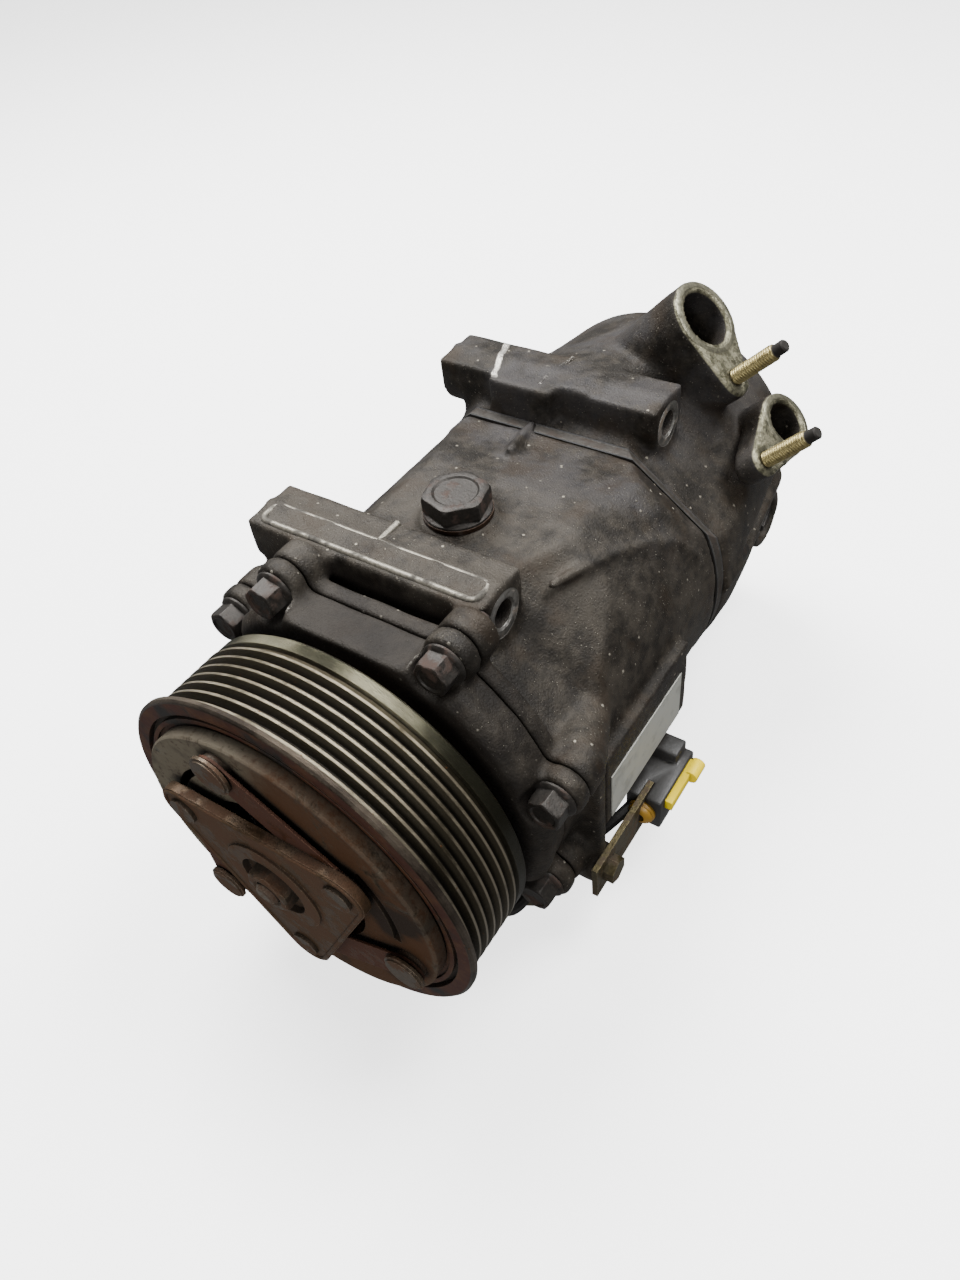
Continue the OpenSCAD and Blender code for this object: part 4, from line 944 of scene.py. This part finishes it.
class FastenersOperator(bpy.types.Operator):
    """Builds the forged bolt heads and the oil plug, and finishes the rear bolts, washer and relief
    valve
    """
    bl_idname = "compressor.fasteners"
    bl_label = "Fasteners"

    def execute(self, context):
        dark = steel("bolt_steel", (0.03, 0.026, 0.022), (0.034, 0.016, 0.009), 0.42, 0.4, 0.85,
                     metallic=0.55)
        origin = Vector()
        head = hex_head("bolt", origin, (0, -1, 0), BOLT_AF, BOLT_HEAD, BOLT_FLANGE_R, 1.4, 0.2,
                        0.5)
        shank = lathe("shank", origin, (0, 1, 0), [(2.95, -0.3), (2.95, 18.2), (2.4, 18.5)], 24)
        template = melted("bolt_template", [head, shank])
        places = []
        for i, angle in enumerate(FRONT_BOLTS):
            x, z = turned(angle, FRONT_BOLT_R)
            places.append((at(x, FRONT_BOLT_SEAT, z), 0.35 * i))
        bolts = copies("front_bolt_set", template, places, dark)
        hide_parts("front_bolts")
        add_piece(bolts, dark)
        dress(dark, "rear_bolts")
        low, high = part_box("oil_plug")
        base = Vector(((low[0] + high[0]) / 2, (low[1] + high[1]) / 2, high[2] - PLUG_HEAD * MM))
        top = hex_head("plug", base, (0, 0, 1), PLUG_AF, PLUG_HEAD, PLUG_FLANGE_R, 1.2, 0.5, 0.7)
        stem = lathe("stem", base, (0, 0, -1), [(6.95, -0.5), (6.95, 10.4), (6.2, 10.5)], 40)
        plug = joined("oil_plug_detail", [top, stem])
        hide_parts("oil_plug")
        add_piece(plug, dark)
        copper = steel("dull_copper", (0.06, 0.035, 0.022), (0.02, 0.014, 0.01), 0.5, 0.6, 0.8)
        dress(copper, "oil_plug_washer")
        brass = steel("dull_brass", (0.35, 0.25, 0.1), (0.08, 0.05, 0.03), 0.4, 0.5, 0.6)
        dress(brass, "relief_valve")
        return {"FINISHED"}


class PortsOperator(bpy.types.Operator):
    """Builds the threaded studs and the machined mouths of the ports"""
    bl_idname = "compressor.ports"
    bl_label = "Ports"

    def execute(self, context):
        trim = context.scene.compressor_trim
        zinc = steel("yellow_zinc", tuple(trim.zinc), (0.12, 0.08, 0.04), 0.3, 0.15, 0.4,
                     edge=0.0002, tip=STUD_DARK_TIP)
        out = port_point(1, 0, TRACK_Y).normalized()
        studs = []
        for q, y in STUDS:
            foot = port_point(PORT_FACE, q, y)
            studs.append(threaded("stud", foot, out, 18, STUD_R, 1.0, 2.2, 4.0))
            studs.append(lathe("root", foot, out, [(STUD_ROOT_R, -8.4), (STUD_ROOT_R, 0.3)], 32))
        piece = joined("stud_threads", studs)
        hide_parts("port_studs")
        add_piece(piece, zinc)
        oiled = steel("oiled_aluminium", (0.2, 0.19, 0.135), (0.045, 0.04, 0.02), 0.3, 0.5, 0.7,
                      metallic=0.8)
        rings = []
        for q, y, bore, outer in PORTS:
            rings.append(lathe("mouth", port_point(PORT_FACE, q, y), out, [
                (bore, -9), (bore, -3.4), (bore + 0.5, -3.2), (bore + 0.5, -2.6),
                (bore + 0.05, -2.4), (bore + 0.6, -0.6), (bore + 1.5, 0.1), (outer - 1.2, 0.12),
                (outer - 0.5, -0.2), (outer - 0.8, -0.9), (bore + 1.4, -1.2), (bore + 0.8, -9),
                (bore, -9)], 72))
        add_piece(joined("port_mouths", rings), oiled)
        return {"FINISHED"}


class ElectricalOperator(bpy.types.Operator):
    """Finishes the connector, its lock, bracket and lead, and the label"""
    bl_idname = "compressor.electrical"
    bl_label = "Electrical pieces"

    def execute(self, context):
        trim = context.scene.compressor_trim
        black = rubbery("black_plastic", (0.02, 0.019, 0.018), 0.45, 0.15)
        add_piece(eased("connector_shell", "connector_body", 0.0007), black)
        yellow = rubbery("yellow_plastic", tuple(trim.lock), 0.45, 0.0, 0.15)
        add_piece(eased("connector_lock_detail", "connector_lock", 0.0005), yellow)
        zinc = steel("bracket_zinc", (0.1, 0.082, 0.042), (0.04, 0.022, 0.01), 0.4, 0.6, 0.8)
        dress(zinc, "connector_bracket", "bracket_screw", "lead_clip")
        dress(steel("tin", (0.6, 0.6, 0.58), (0.3, 0.25, 0.2), 0.25, 0.1, 0.2), "connector_pins")
        dress(rubbery("lead_sleeve", (0.018, 0.017, 0.016), 0.65), "coil_lead")
        dress(blank_label("label_foil", tuple(trim.label)), "label_plate")
        low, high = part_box("connector_body")
        x0, y0, z0 = (c / MM for c in low)
        x1 = high[0] / MM
        ribs = []
        for k in range(4):
            y = y0 + 11 + 3.4 * k
            ribs.append(([Vector((x0, y, z0)) * MM, Vector((x0, y, z0 + 13)) * MM], False))
            ribs.append(([Vector((x0 + 1, y, z0)) * MM, Vector((x1 - 1, y, z0)) * MM], False))
        add_piece(beads("connector_ribs", ribs, 0.0005, black, 8), black)
        inner = rubbery("amber_plastic", (0.3, 0.16, 0.01), 0.4, 0.3)
        seal = lathe("seal", Vector((x0 + 6.5, y0 - 0.2, z0 + 7)) * MM, (0, -1, 0), [
            (2.1, -1), (4.8, -0.6), (4.9, 0.6), (4.2, 1.2), (4.6, 1.9), (4.0, 2.6), (2.4, 3.4),
            (2.1, 3.4), (2.1, -1)], 40)
        add_piece(new_object("lead_seal", seal), inner)
        return {"FINISHED"}


class InnerOperator(bpy.types.Operator):
    """Finishes the shaft, the swash plate drive, the valves and the seals"""
    bl_idname = "compressor.inner"
    bl_label = "Inner pieces"

    def execute(self, context):
        rubber = rubbery("seal_rubber", (0.02, 0.02, 0.02), 0.55)
        dress(rubber, "front_o_ring", "block_gasket", "head_gasket", "shaft_seal")
        bright = steel("inner_steel", (0.5, 0.49, 0.47), (0.15, 0.1, 0.06), 0.25, 0.15, 0.4)
        oily = steel("oily_steel", (0.035, 0.03, 0.024), (0.02, 0.012, 0.007), 0.5, 0.6, 0.9,
                     metallic=0.4)
        dress(oily, "suction_reeds", "valve_plate", "discharge_reeds")
        worn = steel("shaft_steel", (0.2, 0.17, 0.13), (0.05, 0.022, 0.009), 0.4, 0.7, 0.8,
                     metallic=0.6)
        dress(worn, "shaft")
        dress(bright, "control_valve", "shims", "front_bearing_cup", "front_bearing_rollers",
              "rear_bearing_cup", "rear_bearing_rollers", "thrust_washer", "hinge_pin",
              "swash_spring", "piston_shoes", "shaft_adjuster")
        iron = steel("machined_iron", (0.2, 0.19, 0.18), (0.08, 0.05, 0.03), 0.35, 0.3, 0.4)
        dress(iron, "drive_plate", "swash_plate")
        alloy = steel("piston_aluminium", (0.5, 0.5, 0.5), (0.2, 0.18, 0.15), 0.3, 0.1, 0.3)
        dress(alloy, "pistons")
        return {"FINISHED"}


class StageOperator(bpy.types.Operator):
    """Sets the floor, the soft lights and the camera"""
    bl_idname = "compressor.stage"
    bl_label = "Stage"

    def execute(self, context):
        settings = context.scene.compressor_stage
        ground = CAD_BOX[0][2] - 0.0002
        f = Finish("pale_floor", Emission_Strength=FLOOR_GLOW)
        grain = f.noise(3.0, 2)
        tint = f.mix(grain, tuple(settings.floor), tuple(c * 0.985 for c in settings.floor))
        material = f.finish(tint, 0.75, 0.0)
        f.tree.links.new(tint.socket, f.shader.inputs["Emission Color"])
        mesh = bpy.data.meshes.new("floor")
        corners = [(x * FLOOR_HALF, y * FLOOR_HALF, ground)
                   for x, y in ((-1, -1), (1, -1), (1, 1), (-1, 1))]
        mesh.from_pydata(corners, [], [(0, 1, 2, 3)])
        mesh.materials.append(material)
        floor = new_object("floor", mesh)
        floor.visible_diffuse = floor.visible_glossy = False
        world = bpy.data.worlds.new("studio")
        world.use_nodes = True
        sky = world.node_tree.nodes["Background"]
        sky.inputs["Color"].default_value = (1, 1, 1, 1)
        sky.inputs["Strength"].default_value = WORLD_LIGHT
        context.scene.world = world
        for name, place, size, share in LIGHTS:
            light = bpy.data.lights.new(name, "AREA")
            light.size, light.energy = size, settings.key * share
            lamp = bpy.data.objects.new(name, light)
            lamp.location = place
            aim = Vector(LIT_POINT) - Vector(place)
            lamp.rotation_euler = aim.to_track_quat("-Z", "Y").to_euler()
            context.scene.collection.objects.link(lamp)
        camera = bpy.data.cameras.new("camera")
        camera.lens, camera.sensor_width, camera.clip_start = settings.lens, 36.0, 0.01
        view = bpy.data.objects.new("camera", camera)
        forward = Vector(CAMERA_FORWARD).normalized()
        up = Vector(CAMERA_UP)
        up = (up - forward * up.dot(forward)).normalized()
        turn = Matrix((forward.cross(up), up, -forward)).transposed().to_4x4()
        view.matrix_world = Matrix.Translation(CAMERA_PLACE) @ turn
        context.scene.collection.objects.link(view)
        context.scene.camera = view
        return {"FINISHED"}


STEPS = (StageOperator, CastingsOperator, LugDetailsOperator, PulleyOperator, ClutchOperator,
         FastenersOperator, PortsOperator, ElectricalOperator, InnerOperator)
GROUPS = {"compressor_castings": CastingSettings, "compressor_pulley": PulleySettings,
          "compressor_clutch": ClutchSettings, "compressor_trim": TrimSettings,
          "compressor_stage": StageSettings}


class CompressorPanel(bpy.types.Panel):
    """Lists the settings and the building steps"""
    bl_idname = "VIEW3D_PT_compressor"
    bl_label = "Compressor"
    bl_space_type = "VIEW_3D"
    bl_region_type = "UI"
    bl_category = "Compressor"

    def draw(self, context):
        for name in GROUPS:
            box = self.layout.box()
            group = getattr(context.scene, name)
            for key in group.bl_rna.properties.keys():
                if key not in ("rna_type", "name"):
                    box.prop(group, key)
        for step in STEPS:
            self.layout.operator(step.bl_idname)


def register():
    for cls in (*GROUPS.values(), *STEPS, CompressorPanel):
        bpy.utils.register_class(cls)
    for name, cls in GROUPS.items():
        setattr(bpy.types.Scene, name, bpy.props.PointerProperty(type=cls))


def unregister():
    for name in GROUPS:
        delattr(bpy.types.Scene, name)
    for cls in (CompressorPanel, *reversed(STEPS), *GROUPS.values()):
        bpy.utils.unregister_class(cls)


def main():
    register()
    for step in STEPS:
        group, name = step.bl_idname.split(".")
        getattr(getattr(bpy.ops, group), name)()


if __name__ == "__main__":
    main()
